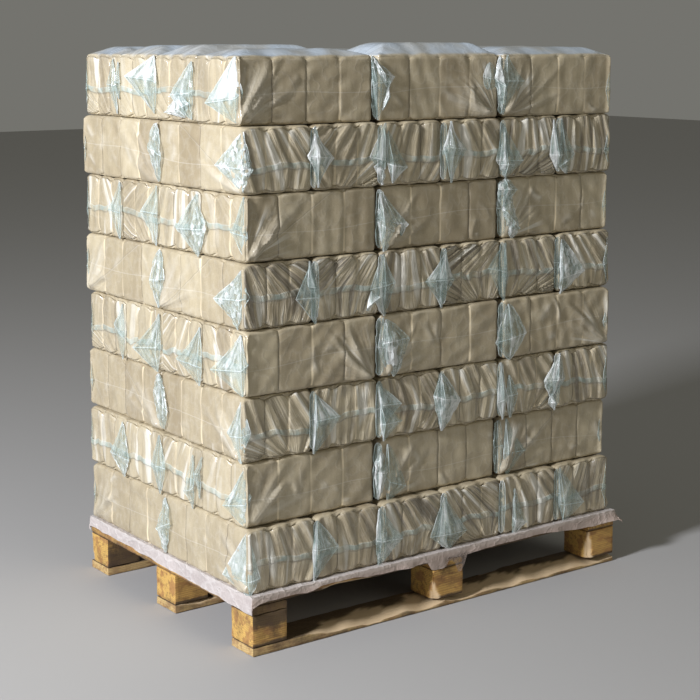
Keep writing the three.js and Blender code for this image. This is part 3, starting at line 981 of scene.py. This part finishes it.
def add_leaf(layer, run, shape, rng):
    """One leaf at a run along the layer's rim, farthest out where its four facets meet."""
    patch = add_grid(LEAF_COLUMNS, LEAF_ROWS)
    grid = points_of(patch)
    across, up = 2 * grid[:, 0], 2 * grid[:, 1]
    top, left, foot, right = shape["points"]
    waist = (left[1] + right[1]) / 2
    share = (top[1] - waist) / (top[1] - foot[1])
    hub = np.array([top[0] + share * (foot[0] - top[0]), waist])
    is_left, is_upper = across < 0, up > 0
    tip = np.where(is_left[:, None], left, right) - hub
    end = np.where(is_upper[:, None], top, foot) - hub
    bowed = shape["pinch"] * rng.uniform(0.8, 1.3, 4)[2 * is_upper + is_left]
    rise = (1 - np.abs(up)) ** bowed
    reach = np.abs(across) * rise
    flat = hub + np.abs(up)[:, None] * end + reach[:, None] * tip
    flat[:, 0] += run + LEAF_NECK * across
    ragged = 0.0014 * (0.3 + shape["crumple"]) * np.abs(across)
    flat[:, 0] += ragged * waves(up[:, None], 0.6, any_seed(rng))
    creased = zigzag(across + 0.4 * up * shape["crumple"], 0.7, any_seed(rng))
    crumpled = shape["crumple"] * waves(flat, 0.022, any_seed(rng))
    out = LEAF_EDGE_OFF + (shape["stand"] - LEAF_EDGE_OFF) * rise * (1 - 0.8 * np.abs(across))
    out += rng.uniform(0.001, 0.006) * np.abs(across) * rise ** 3
    out += 0.0008 * rise * creased + 0.0022 * crumpled
    on_rim = layer.rim(flat[:, 0], np.maximum(out, LEAF_LEAST_OFF))
    local = np.concatenate([on_rim, flat[:, 1:]], axis=1)
    set_points(patch, layer.place(local))
    breadth = np.linalg.norm(tip, axis=1)
    # Left edges, which face the light, get a wider painted highlight along the outline
    from_outline = (1 - np.abs(across)) * rise * breadth * np.where(is_left, 0.5, 1.0)
    from_waist = np.abs(up) * np.linalg.norm(end, axis=1)
    edge = np.stack([from_outline, from_waist, reach * breadth], axis=1)
    upper_left, upper_right, lower_left, lower_right = shape["tones"]
    upper = np.where(is_left, upper_left, upper_right)
    lower = np.where(is_left, lower_left, lower_right)
    set_attribute(patch, "film_edge", edge)
    set_attribute(patch, "film_tone", np.where(is_upper, upper, lower) + 0.06 * creased)
    set_attribute(patch, "crumpled", np.full(len(up), float(shape["crumple"])))
    shift = rng.uniform(0, 40)
    streak = [across * 2 + shift, up * 0.6, up * 0]
    set_attribute(patch, "streak", np.stack(streak, axis=1))
    thicken(patch, FILM_THICK)
    return patch


def make_ears(layer, material):
    rng = np.random.default_rng(LEAF_SEED + layer.index)
    leaves = []
    for side in SIDES:
        is_long = side in ("front", "back")
        for number, along in enumerate(layer.boundaries(side), start=1):
            shapes = (FRONT_LEAVES if is_long else LEFT_LEAVES)[layer.index + 1, number]
            if is_long:
                shapes = [ACROSS_WEB if layer.turned else ALONG_WEB] + shapes
            for shape in shapes:
                leaves.append(add_leaf(layer, layer.side_run(side, along), shape, rng))
    width, depth = 2 * layer.half[0], 2 * layer.half[1]
    near = CORNER_LEAVES[layer.index]
    corners = (0, width, width + depth, 2 * width + depth)
    for run, shape in zip(corners, (near, PLAIN_CORNER_LEAF, near, PLAIN_CORNER_LEAF)):
        leaves.append(add_leaf(layer, run, shape, rng))
    joined = join_as(f"film_ears_of_layer_{layer.index + 1}", leaves)
    hand_over(joined, material, smooth_below=35)


# Slip sheet, draped on the deck with its margin hanging over the edges

SHEET_CELLS = (132, 88)
MARGIN_CELLS = 7
SHEET_THICK = 0.0006
SHEET_CLEAR = 0.0012  # off the boards' edges
HEM_SEED = 60
# How far the margin hangs in millimetres, by its place along each side, seen from outside
HEMS = {
    "front": [
        (0, 24), (0.012, 20), (0.02, 16), (0.1, 15), (0.13, 18), (0.16, 9), (0.25, 9), (0.28, 16),
        (0.44, 19), (0.45, 40), (0.49, 42), (0.50, 26), (0.515, 30), (0.525, 60), (0.54, 62),
        (0.545, 22), (0.6, 17), (0.75, 15), (0.86, 24), (0.93, 32), (1, 26),
    ],
    "right": [(0, 28), (0.3, 34), (0.5, 26), (0.8, 36), (1, 30)],
    "back": [(0, 30), (0.2, 36), (0.45, 24), (0.6, 38), (0.85, 30), (1, 32)],
    "left": [(0, 26), (0.2, 27), (0.5, 33), (0.8, 37), (1, 43)],
}


def margin_drop(side, share):
    places, drops = zip(*HEMS[side])
    seed = list(HEMS).index(side) + HEM_SEED
    return (np.interp(share, places, drops) + waves(share[:, None], 0.11, seed)) / 1000


def make_slip_sheet(material):
    sheet = add_grid(*SHEET_CELLS)
    grid = points_of(sheet)
    deck_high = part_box("deck_board_7")[1]
    half = np.array([deck_high.x, deck_high.y]) + SHEET_CLEAR
    top = deck_high.z + SHEET_THICK
    flat = np.empty((len(grid), 2))
    over = np.empty((len(grid), 2))
    for axis in (0, 1):
        from_centre = np.rint((grid[:, axis] + 0.5) * SHEET_CELLS[axis]) - SHEET_CELLS[axis] / 2
        inner_cells = SHEET_CELLS[axis] / 2 - MARGIN_CELLS
        flat[:, axis] = np.clip(from_centre / inner_cells, -1, 1) * half[axis]
        past = np.maximum(np.abs(from_centre) - inner_cells, 0) / MARGIN_CELLS
        over[:, axis] = past * np.sign(from_centre)
    drops = {}
    for name, side in SIDES.items():
        share = side.run * flat[:, side.along] / (2 * half[side.along]) + 0.5
        drops[name] = margin_drop(name, share)
    drop_x = np.where(over[:, 0] < 0, drops["left"], drops["right"])
    drop_y = np.where(over[:, 1] < 0, drops["front"], drops["back"])
    reach = np.hypot(over[:, 0], over[:, 1])
    towards = over / np.maximum(reach, 1e-6)[:, None]
    drop = drop_x * towards[:, 0] ** 2 + drop_y * towards[:, 1] ** 2
    hang = reach * drop
    place = np.concatenate([flat, hang[:, None]], axis=1)
    # The margin stands off the boards towards its foot, in waves, and most at the near right corner
    flare = 0.0004 + 0.0012 * reach + 0.0028 * reach * np.maximum(waves(place, 0.07, 71), -0.3)
    flare += 0.0010 * reach * waves(place, 0.024, 72)
    curl = np.exp(-(np.hypot(flat[:, 0] - half[0], flat[:, 1] + half[1]) / 0.06) ** 2)
    flare += 0.012 * curl * reach ** 2
    at_corner = np.abs(towards[:, 0] * towards[:, 1]) * 2
    angle = np.arctan2(towards[:, 1], towards[:, 0])
    flare += 0.004 * at_corner * ramp(reach, 0.2, 1.2) * np.cos(angle * 12)
    spread = np.maximum(flare, 0.0003)
    points = np.empty((len(grid), 3))
    points[:, :2] = flat + towards * spread[:, None] * ramp(reach, 0, 0.25)[:, None]
    points[:, 2] = top - hang + 0.0035 * curl * reach
    # It ruffles where it bends over the deck's rim
    rim = ramp(np.abs(flat[:, 0]), half[0] - 0.05, half[0] - 0.01)
    rim = np.maximum(rim, ramp(np.abs(flat[:, 1]), half[1] - 0.05, half[1] - 0.01))
    ruffle = np.maximum(waves(flat, 0.03, 73) + 0.5, 0) * 0.0012
    points[:, 2] += rim * ruffle * (1 - ramp(reach, 0, 0.3))
    set_points(sheet, points)
    set_attribute(sheet, "hang", hang)
    # At the front's middle a torn flap hangs thin
    torn = ramp(hang, 0.014, 0.02) * ramp(flat[:, 0], -0.014, -0.008) * ramp(-flat[:, 0], -0.08, -0.06)
    set_attribute(sheet, "thin", torn * (over[:, 1] < 0))
    middles = numbers_of(sheet.data.polygons, "center")
    covered = (np.abs(middles[:, 0]) < half[0] - 0.06) & (np.abs(middles[:, 1]) < half[1] - 0.06)
    merge_flat(sheet, covered)
    thicken(sheet, SHEET_THICK)
    sheet.name = "draped_slip_sheet"
    hand_over(sheet, material, "slip_sheet", smooth_below=70)


# Pallet timbers

TIMBER_CELL = 0.0085
LONG_CELL = 0.018
EDGE_WEAR = 0.0022
TIMBER_CLEAR = 0.0002  # how far its worn faces stay inside a timber's sawn size
TIMBER_SEED = 200
# Edges pared back by bark or a blow: the two faces that meet there, the stretch of the edge that it
# runs over and how far it reaches in on each face
PARED_EDGES = {
    "bottom_board_front": [
        (FRONT, TOP, (-0.46, 0.70), (0.058, 0.014)),
        (BACK, TOP, (-0.1, 0.3), (0.012, 0.012)),
    ],
    "bottom_board_middle": [(FRONT, TOP, (-0.62, -0.1), (0.012, 0.010))],
    "bottom_board_back": [(BACK, TOP, (-0.3, 0.35), (0.020, 0.012))],
    "deck_board_1": [(FRONT, BOTTOM, (-0.42, -0.22), (0.014, 0.010))],
    "deck_board_7": [(BACK, BOTTOM, (-0.1, 0.45), (0.014, 0.012))],
    "block_front_centre": [(LEFT, FRONT, (0.0, 0.085), (0.022, 0.018))],
    "block_front_right": [(LEFT, FRONT, (0.0, 0.11), (0.026, 0.022))],
    "block_back_left": [(LEFT, BACK, (0.0, 0.13), (0.014, 0.014))],
    "block_middle_right": [(RIGHT, BACK, (0.02, 0.13), (0.016, 0.016))],
}
# How much darker some timbers are painted at their foot and at their top; the others get 0 to 0.4
DARK_TIMBERS = {
    "bottom_board_front": (0.5, 0.5),
    "block_front_left": (0.3, 1.8),
    "block_back_left": (1.3, 1.2),
    "bottom_board_middle": (0.5, 0.6),
    "cross_board_left": (2.2, 2.0),
    "deck_board_1": (0.5, 0.5),
}


def pare_edge(points, box, pared, seed):
    """Cuts one long edge back to a slanted, wavy face that runs out at the end of its stretch."""
    (axis_a, sign_a), (axis_b, sign_b), (start, end), reaches = pared
    along = points[:, 3 - axis_a - axis_b]
    inset_a = sign_a * (box[(sign_a + 1) // 2][axis_a] - points[:, axis_a])
    inset_b = sign_b * (box[(sign_b + 1) // 2][axis_b] - points[:, axis_b])
    fade = min(0.12, 0.4 * (end - start))
    share = ramp(along, start, start + fade) * ramp(-along, -end, -end + fade)
    if start == 0.0:
        share = np.clip((end - along) / (end - start), 0, 1)
    share *= 1 + 0.3 * waves(along[:, None], 0.16, seed) + 0.10 * waves(points, 0.03, seed + 1)
    reach_a, reach_b = (np.maximum(share * reach, 1e-5) for reach in reaches)
    beyond = np.maximum(1 - inset_a / reach_a - inset_b / reach_b, 0)
    steep = 1 / reach_a ** 2 + 1 / reach_b ** 2
    move_a, move_b = beyond / reach_a / steep, beyond / reach_b / steep
    points[:, axis_a] -= sign_a * move_a
    points[:, axis_b] -= sign_b * move_b
    return ramp(move_a + move_b, 0.0002, 0.002)


def make_timber(node, number, material):
    low, high = (np.array(corner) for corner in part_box(node))
    size, centre = high - low, (high + low) / 2
    timber = add_box(f"timber_{node}", tuple(size), tuple(centre))
    bpy.ops.object.mode_set(mode="EDIT")
    bpy.ops.mesh.select_all(action="SELECT")
    bpy.ops.mesh.bevel(offset=EDGE_WEAR, segments=2, affect="EDGES")
    bpy.ops.object.mode_set(mode="OBJECT")
    grain = 1 if node.startswith("cross") else 0
    for axis in range(3):
        cell = LONG_CELL if size[axis] > 0.5 else TIMBER_CELL
        cut_along(timber, axis, max(2, round(size[axis] / cell)))
    points = points_of(timber)
    rng = np.random.default_rng(TIMBER_SEED + number)
    normals = numbers_of(timber.data.vertices, "normal")
    seed = any_seed(rng)
    # The pared faces, pale in the finish partly with wear and partly with painted light
    wear_and_light = np.zeros(len(points))
    for pared in PARED_EDGES.get(node, []):
        wear_and_light = np.maximum(wear_and_light, pare_edge(points, (low, high), pared, seed))
    rough = 0.0004 * (1 + waves(points, 0.05, seed + 3)) + 0.0004 * (1 + waves(points, 0.018, seed + 4))
    is_edge = np.abs(normals).max(axis=1) < 0.97
    bite = np.maximum(waves(points, 0.045, seed + 5) - 0.55, 0)
    rough += is_edge * bite * 0.004
    points -= normals * np.clip(rough, 0, 0.005)[:, None]
    set_points(timber, np.clip(points, low + TIMBER_CLEAR, high - TIMBER_CLEAR))
    local = points - centre
    order = [grain, 1 - grain, 2]
    pith = np.array([rng.uniform(0, 9), rng.uniform(-0.06, 0.06), rng.uniform(-0.12, -0.05)])
    set_attribute(timber, "grain_place", local[:, order] + pith)
    set_attribute(timber, "end_grain", ramp(np.abs(normals[:, grain]), 0.7, 0.95))
    set_attribute(timber, "wear_and_light", wear_and_light)
    at_foot, at_top = DARK_TIMBERS.get(node, rng.uniform(0.0, 0.4, 2))
    upper = ramp(points[:, 2], low[2] + 0.4 * size[2], high[2] - 0.15 * size[2])
    shade = at_foot + (at_top - at_foot) * upper
    # Painted shade: the tops of the bottom boards, shaded by the load, and the foot of the rest are
    # painted darker, and all of it is weaker on faces lit from the left
    if node.startswith("bottom"):
        shade += 1.5 * ramp(normals[:, 2], 0.5, 0.9)
    else:
        shade += 1.5 * ramp(low[2] + 0.007 - points[:, 2], 0, 0.003)
    lit_end = ramp(-normals[:, 0], 0.5, 0.9)
    set_attribute(timber, "shade", shade * (1 - 0.75 * lit_end))
    hand_over(timber, material, node, smooth_below=40)


def make_pallet(pine, weathered):
    nodes = [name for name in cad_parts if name.startswith(("block", "bottom", "cross", "deck"))]
    for number, node in enumerate(sorted(nodes)):
        is_weathered = node.startswith("bottom")
        make_timber(node, number, weathered if is_weathered else pine)


# Effects that finishes share

def make_crinkle():
    """Fine film creases: sharp ridged lines in the given place's own directions."""
    group, given, result = new_effect("film_crinkle", ("Scale", "Sharpness"), ("Height",))
    place, scale, sharpness = given
    folded = abs(place.noise(scale, 2.0, 0.45) - 0.5)
    flipped = folded.scaled(-5.0, 1.0).math("MAXIMUM", 0.0)
    feed(result, {"Height": flipped.math("POWER", sharpness)})
    return group


def make_grain():
    """Sawn wood: growth rings about a pith along X, fine fibres and scattered knots."""
    group, given, result = new_effect("wood_grain", ("Ring Pitch",), ("Rings", "Fibres", "Knots"))
    place, ring_pitch = given
    warp = place.stretched((0.8, 5.0, 5.0)).noise(2.2)
    _, across, upward = place.split()
    across = warp.scaled(0.03, across)
    upward = warp.scaled(-0.02, upward)
    from_pith = across.scaled(across, upward * upward).math("SQRT")
    rings = from_pith.math("DIVIDE", ring_pitch).math("FRACT").math("POWER", 3.0)
    fibres = place.stretched((6.0, 300.0, 300.0)).noise(1.0, 3.0, 0.65)
    from_knot, _ = place.stretched((3.2, 9.0, 9.0)).cells(1.0)
    feed(result, {"Rings": rings, "Fibres": fibres, "Knots": from_knot.within(0.07, 0.2)})
    return group


def make_pleats():
    """Broad folds across a given place: how high the film stands, its lit ridges, its dark hollows."""
    group, given, result = new_effect("film_pleats", ("Scale",), ("Height", "Ridge", "Hollow"))
    place, scale = given
    field = place.noise(scale, 1.5)
    ridge, hollow = field.span(0.56, 0.65), field.within(0.38, 0.46)
    feed(result, {"Height": field, "Ridge": ridge, "Hollow": hollow})
    return group


# Briquettes under film. Colours are linear red, green and blue, and distances are in metres

BRIQUETTE_DARK = (0.34, 0.272, 0.167)
BRIQUETTE_PALE = (0.585, 0.502, 0.334)
GAP_SHADE = (0.06, 0.045, 0.03)
# Painted light: a warm bright band on the film where it bridges a joint
BRIDGE_PAINTED_LIGHT = (1.0, 0.84, 0.56)
SEAL_FILM = (0.37, 0.47, 0.43)
# Painted highlight: a pale line along the seal's upper edge
SEAL_RIM_HIGHLIGHT = (0.80, 0.82, 0.74)
SEAL_SHADOW = (0.15, 0.14, 0.11)
WELD_SHEEN = (0.74, 0.70, 0.60)
OVERLAP_SHADOW = (0.20, 0.17, 0.12)
HOLLOW_SHADE = (0.15, 0.12, 0.08)
FOLD_SHEEN = (0.90, 0.89, 0.81)
# Painted reflection: the blue-grey of the sky in the loose film on top
TOP_REFLECTION_DARK = (0.43, 0.52, 0.60)
TOP_REFLECTION_PALE = (0.76, 0.85, 0.95)
SEAL_HALF = 0.0075
SEAL_HIGHLIGHT_PLACE = 0.0062  # where the painted highlight runs, over the seal's middle
SEAL_SHADOW_PLACE = 0.0092  # under it
OVERLAP_SHEEN_PLACE = 0.0023  # beside the overlap's edge


def make_briquette_finish(crinkle, pleats):
    """Pressed wood seen through tight clear film."""
    material, tree, shader = blank_material("briquettes_under_film")
    place = object_place(tree)
    tone, crease, haze = (read_attribute(tree, name) for name in ("tone", "crease", "haze"))
    _, over_seal, side_kind = read_attribute(tree, "film_line", "Vector").split()
    fold_x, fold_y, folding = read_attribute(tree, "fan", "Vector").split()
    fold_place = fold_x.then("ShaderNodeCombineXYZ", {"X": fold_x, "Y": fold_y})
    joint_distance, bridging, from_overlap = read_attribute(tree, "joint", "Vector").split()
    is_end = side_kind.math("GREATER_THAN", (ON_TOP + ON_END) / 2)
    is_side = side_kind.math("LESS_THAN", (ON_LONG_SIDE + ON_TOP) / 2)

    streaks = place.stretched((1, 1, 0.25)).noise(60.0, 3.0, 0.6)
    grit = place.noise(420.0, 2.0, 0.7)
    mottle = place.noise(14.0, 3.0, 0.55)
    shade = weigh((tone, 0.45), (streaks, 0.5), (grit, 0.5), (mottle, 0.5), (is_side, -0.11))
    wood = shade.span(0.45, 1.35).blend(BRIQUETTE_DARK, BRIQUETTE_PALE)
    at_joint = mottle.scaled(0.0008, joint_distance)
    gap_line = at_joint.within(0.0009, 0.0019, 0.65) * bridging.within(0.05, 0.2)
    # painted light along the joints that the film bridges
    bridge_light = at_joint.within(0.0024, 0.0042, 0.9) * bridging

    from_seal = abs(over_seal)
    wobble = place.noise(35.0, 1.0)
    on_seal = wobble.scaled(0.004, from_seal).within(SEAL_HALF, SEAL_HALF + 0.003) * is_end
    seal = on_seal * wobble.span(0.3, 0.7, 0.15, 0.75)
    # a painted highlight along the seal's upper edge
    seal_rim_highlight = abs(over_seal - SEAL_HIGHLIGHT_PLACE).within(0.0004, 0.0016, 0.25) * is_end
    seal_shadow = abs(over_seal + SEAL_SHADOW_PLACE).within(0.0006, 0.0024, 0.4) * is_end
    seal_shadow = seal_shadow * folding.span(0.2, 0.8, 0.3, 1.0)
    weld = from_seal.within(0.0006, 0.0014, 0.28) * is_side
    overlap_shadow = abs(from_overlap).within(0.0005, 0.0016, 0.35)
    overlap_sheen = abs(from_overlap - OVERLAP_SHEEN_PLACE).within(0.0005, 0.0014, 0.2)

    height, ridge, hollow = fold_place.effect(pleats, {"Scale": 38.0}, ("Height", "Ridge", "Hollow"))
    fine = fold_place.effect(crinkle, {"Scale": 120.0, "Sharpness": 5.0}) * folding
    loose = place.effect(crinkle, {"Scale": 26.0, "Sharpness": 5.0})
    ridge = ridge * folding.span(0.05, 0.55)
    sheen = weigh((ridge, 0.5), (crease, 0.4), (fine, 0.1), (loose, 0.08))
    # a painted reflection of the sky in the loose top film
    top_reflection_colour = weigh((loose, 0.2), (mottle, 0.4)).blend(TOP_REFLECTION_DARK, TOP_REFLECTION_PALE)
    cling = place.noise(9.0).span(0.36, 0.64, 0.5, 0.88)
    seen = lay_over(
        wood,
        (gap_line, GAP_SHADE),
        (bridge_light, BRIDGE_PAINTED_LIGHT),
        (seal, SEAL_FILM),
        (seal_rim_highlight, SEAL_RIM_HIGHLIGHT),
        (seal_shadow, SEAL_SHADOW),
        (weld, WELD_SHEEN),
        (overlap_shadow, OVERLAP_SHADOW),
        (overlap_sheen, WELD_SHEEN),
        (hollow * folding * 0.52, HOLLOW_SHADE),
        (sheen, FOLD_SHEEN),
        (haze * cling, top_reflection_colour),
    )
    relief = weigh(
        (height * folding, 10.0), (fine, 0.5), (loose, 0.25), (grit, 0.12), (on_seal, 1.2), (streaks, 0.3)
    )
    normal = relief.bump(0.0012, 0.9)
    feed(shader, {"Base Color": seen, "Normal": normal, "Coat Normal": normal})
    feed(shader, {"Roughness": 0.6, "Coat Weight": 0.75, "Coat Roughness": 0.16})
    return material


THIN_FILM = (0.38, 0.57, 0.52)
# White of film in many folds, and of the painted highlights on the leaves
FOLDED_AND_LIT_FILM = (0.95, 0.98, 0.95)


def make_film_finish(crinkle):
    """Loose clear film in several folds: white where it is folded most and where highlights are
    painted, blue-green where it is thin.
    """
    material, tree, shader = blank_material("loose_film")
    place = object_place(tree)
    tone, crumpled = read_attribute(tree, "film_tone"), read_attribute(tree, "crumpled")
    streak = read_attribute(tree, "streak", "Vector")
    from_outline, from_waist, from_spine = read_attribute(tree, "film_edge", "Vector").split()
    long_lines = streak.effect(crinkle, {"Scale": 1.6, "Sharpness": 5.0})
    small = place.effect(crinkle, {"Scale": 48.0, "Sharpness": 6.0}) * crumpled
    from_dimple, dimple_colour = place.cells(75.0)
    facet = (dimple_colour.split()[0] - 0.5) * crumpled
    clouds = place.noise(20.0) - 0.5
    # a painted highlight along the outline, wider on the left edges that face the light
    rim = from_outline.within(0.0003, 0.0016) * clouds.span(-0.12, 0.12, 0.2, 1.0)
    waist = from_waist.within(0.0005, 0.0018, 0.7)
    spine = from_spine.within(0.0004, 0.0014, 0.5)
    lines = rim.math("MAXIMUM", waist.math("MAXIMUM", spine))
    bands = streak.noise(1.3).span(0.36, 0.64)
    # How white the film is, from its folds and from each facet's tone, which holds painted highlights and
    # shade
    folded = weigh((tone, 1.0), (facet, 0.6), (clouds, 0.9)).span(0.1, 0.95) * bands.scaled(0.75, 0.35)
    bright = weigh((folded, 1.05), (bands, 0.22), (lines, 0.4), (long_lines, 0.3), (small, 0.3))
    bright = bright.math("MINIMUM", 1.0)
    dense = weigh((bright, 0.64), (lines, 0.3)) + 0.04
    relief = weigh((small, 0.7), (long_lines, 0.8), (from_dimple * crumpled, 4.0), (bands, 1.2))
    feed(shader, {
        "Base Color": bright.blend(THIN_FILM, FOLDED_AND_LIT_FILM),
        "Alpha": dense.math("MINIMUM", 0.94),
        "Normal": relief.bump(0.0012, 0.8),
        "Roughness": 0.16,
        "Specular IOR Level": 0.8,
        "Coat Weight": 0.5,
        "Coat Roughness": 0.08,
    })
    return material


SHEET_DARK = (0.38, 0.33, 0.31)
SHEET_PALE = (0.65, 0.58, 0.54)
SHEET_CREASE = (0.80, 0.76, 0.72)
SHEET_OVER_WOOD = (0.46, 0.33, 0.25)
SHEET_BEND = (0.72, 0.68, 0.62)


def make_sheet_finish(crinkle):
    """Thin crumpled slip sheet, lilac grey and dusty."""
    material, tree, shader = blank_material("dusty_slip_sheet")
    place = object_place(tree)
    long_lines = place.stretched((1, 1, 2)).effect(crinkle, {"Scale": 16.0, "Sharpness": 5.0})
    small = place.effect(crinkle, {"Scale": 55.0, "Sharpness": 4.0})
    dust = place.noise(9.0, 4.0, 0.6)
    seen = lay_over(
        weigh((dust, 0.9), (small, 0.15)).blend(SHEET_DARK, SHEET_PALE),
        (weigh((long_lines, 0.35), (small, 0.12)), SHEET_CREASE),
        (place.split()[1].within(-0.402, -0.398, 0.6), SHEET_OVER_WOOD),
        (read_attribute(tree, "hang").within(0.0, 0.012, 0.25), SHEET_BEND),
    )
    normal = weigh((long_lines, 1.0), (small, 0.5)).bump(0.0016, 0.8)
    whole = read_attribute(tree, "thin") * -0.78 + 1.0
    feed(shader, {"Base Color": seen, "Alpha": whole, "Normal": normal, "Coat Normal": normal})
    feed(shader, {"Roughness": 0.5, "Coat Weight": 0.2, "Coat Roughness": 0.3})
    return material


# A kind of timber: its pale and its ringed wood, and the dark colour of its dirt and painted shade
SAWN_PINE = ((0.88, 0.585, 0.15), (0.46, 0.24, 0.08), (0.07, 0.05, 0.035))
WEATHERED_PINE = ((0.78, 0.58, 0.24), (0.44, 0.28, 0.13), (0.09, 0.065, 0.04))
RESIN_STREAK = (0.28, 0.14, 0.05)
KNOT = (0.12, 0.05, 0.02)
# Bare pared wood, pale with wear, painted paler still as if in sunlight
PARED_WOOD_LIT = (0.80, 0.60, 0.36)
END_GRAIN = (0.30, 0.17, 0.07)


def make_wood_finish(grain, name, pale, ringed, dirt_and_shade_colour):
    """Sawn pine: rings, fibres, knots, saw marks, pared edges pale with wear and painted light,
    and grime with painted shade, more of it on dark timbers.
    """
    material, tree, shader = blank_material(name)
    where = object_place(tree)
    place = read_attribute(tree, "grain_place", "Vector")
    shade, wear_and_light, on_end = (read_attribute(tree, mark) for mark in ("shade", "wear_and_light", "end_grain"))
    rings, fibres, knots = place.effect(grain, {"Ring Pitch": 0.0052}, ("Rings", "Fibres", "Knots"))
    light = weigh((rings, 0.6), (fibres, 0.5)) + on_end.scaled(-0.3, 0.3)
    amber = place.stretched((0.5, 1, 1)).noise(34.0, 2.0, 0.6).span(0.48, 0.6, 0.0, 0.95)
    streak = place.stretched((0.15, 1, 1)).noise(110.0, 2.0, 0.6).span(0.53, 0.64, 0.0, 0.65)
    patches = where.noise(16.0, 4.0, 0.65)
    specks = where.noise(140.0, 3.0, 0.7)
    # Dirt in patches and specks, and painted shade where the shade attribute is high
    dirt_and_shade = weigh((patches, 0.9), (specks, 0.3), (shade, 0.4)).span(0.62, 1.1, 0.0, 0.88)
    # Pared faces get painted light over their bare wood, and the dirt carries painted shade
    wood = lay_over(
        light.blend(pale, ringed),
        (amber, ringed),
        (streak, RESIN_STREAK),
        (knots * 0.8, KNOT),
        (dirt_and_shade, dirt_and_shade_colour),
        (wear_and_light * 0.85, PARED_WOOD_LIT),
        (on_end * 0.18, END_GRAIN),
    )
    saw = place.stretched((260.0, 8.0, 8.0)).noise(1.0)
    relief = weigh((fibres, 0.9), (rings, 0.35), (saw, 0.35), (specks, 0.4), (knots, 0.5))
    roughness = weigh((fibres, 0.2), (shade, 0.05), (dirt_and_shade, 0.1), (specks, 0.8))
    feed(shader, {"Base Color": wood, "Normal": relief.bump(0.0011, 0.9), "Roughness": roughness})
    feed(shader, {"Specular IOR Level": 0.35})
    return material


make_camera()
make_stage()
make_light()
crinkle = make_crinkle()
grain = make_grain()
briquette_finish = make_briquette_finish(crinkle, make_pleats())
film_finish = make_film_finish(crinkle)
sheet_finish = make_sheet_finish(crinkle)
pine_finish = make_wood_finish(grain, "sawn_pine", *SAWN_PINE)
board_finish = make_wood_finish(grain, "weathered_pine", *WEATHERED_PINE)
make_pallet(pine_finish, board_finish)
make_slip_sheet(sheet_finish)
layers = [Layer(index) for index in range(len(LAYER_SLIPS))]
for layer in layers:
    make_layer(layer, briquette_finish)
    make_ears(layer, film_finish)
for blank in pack_blanks.values():
    bpy.data.objects.remove(blank)
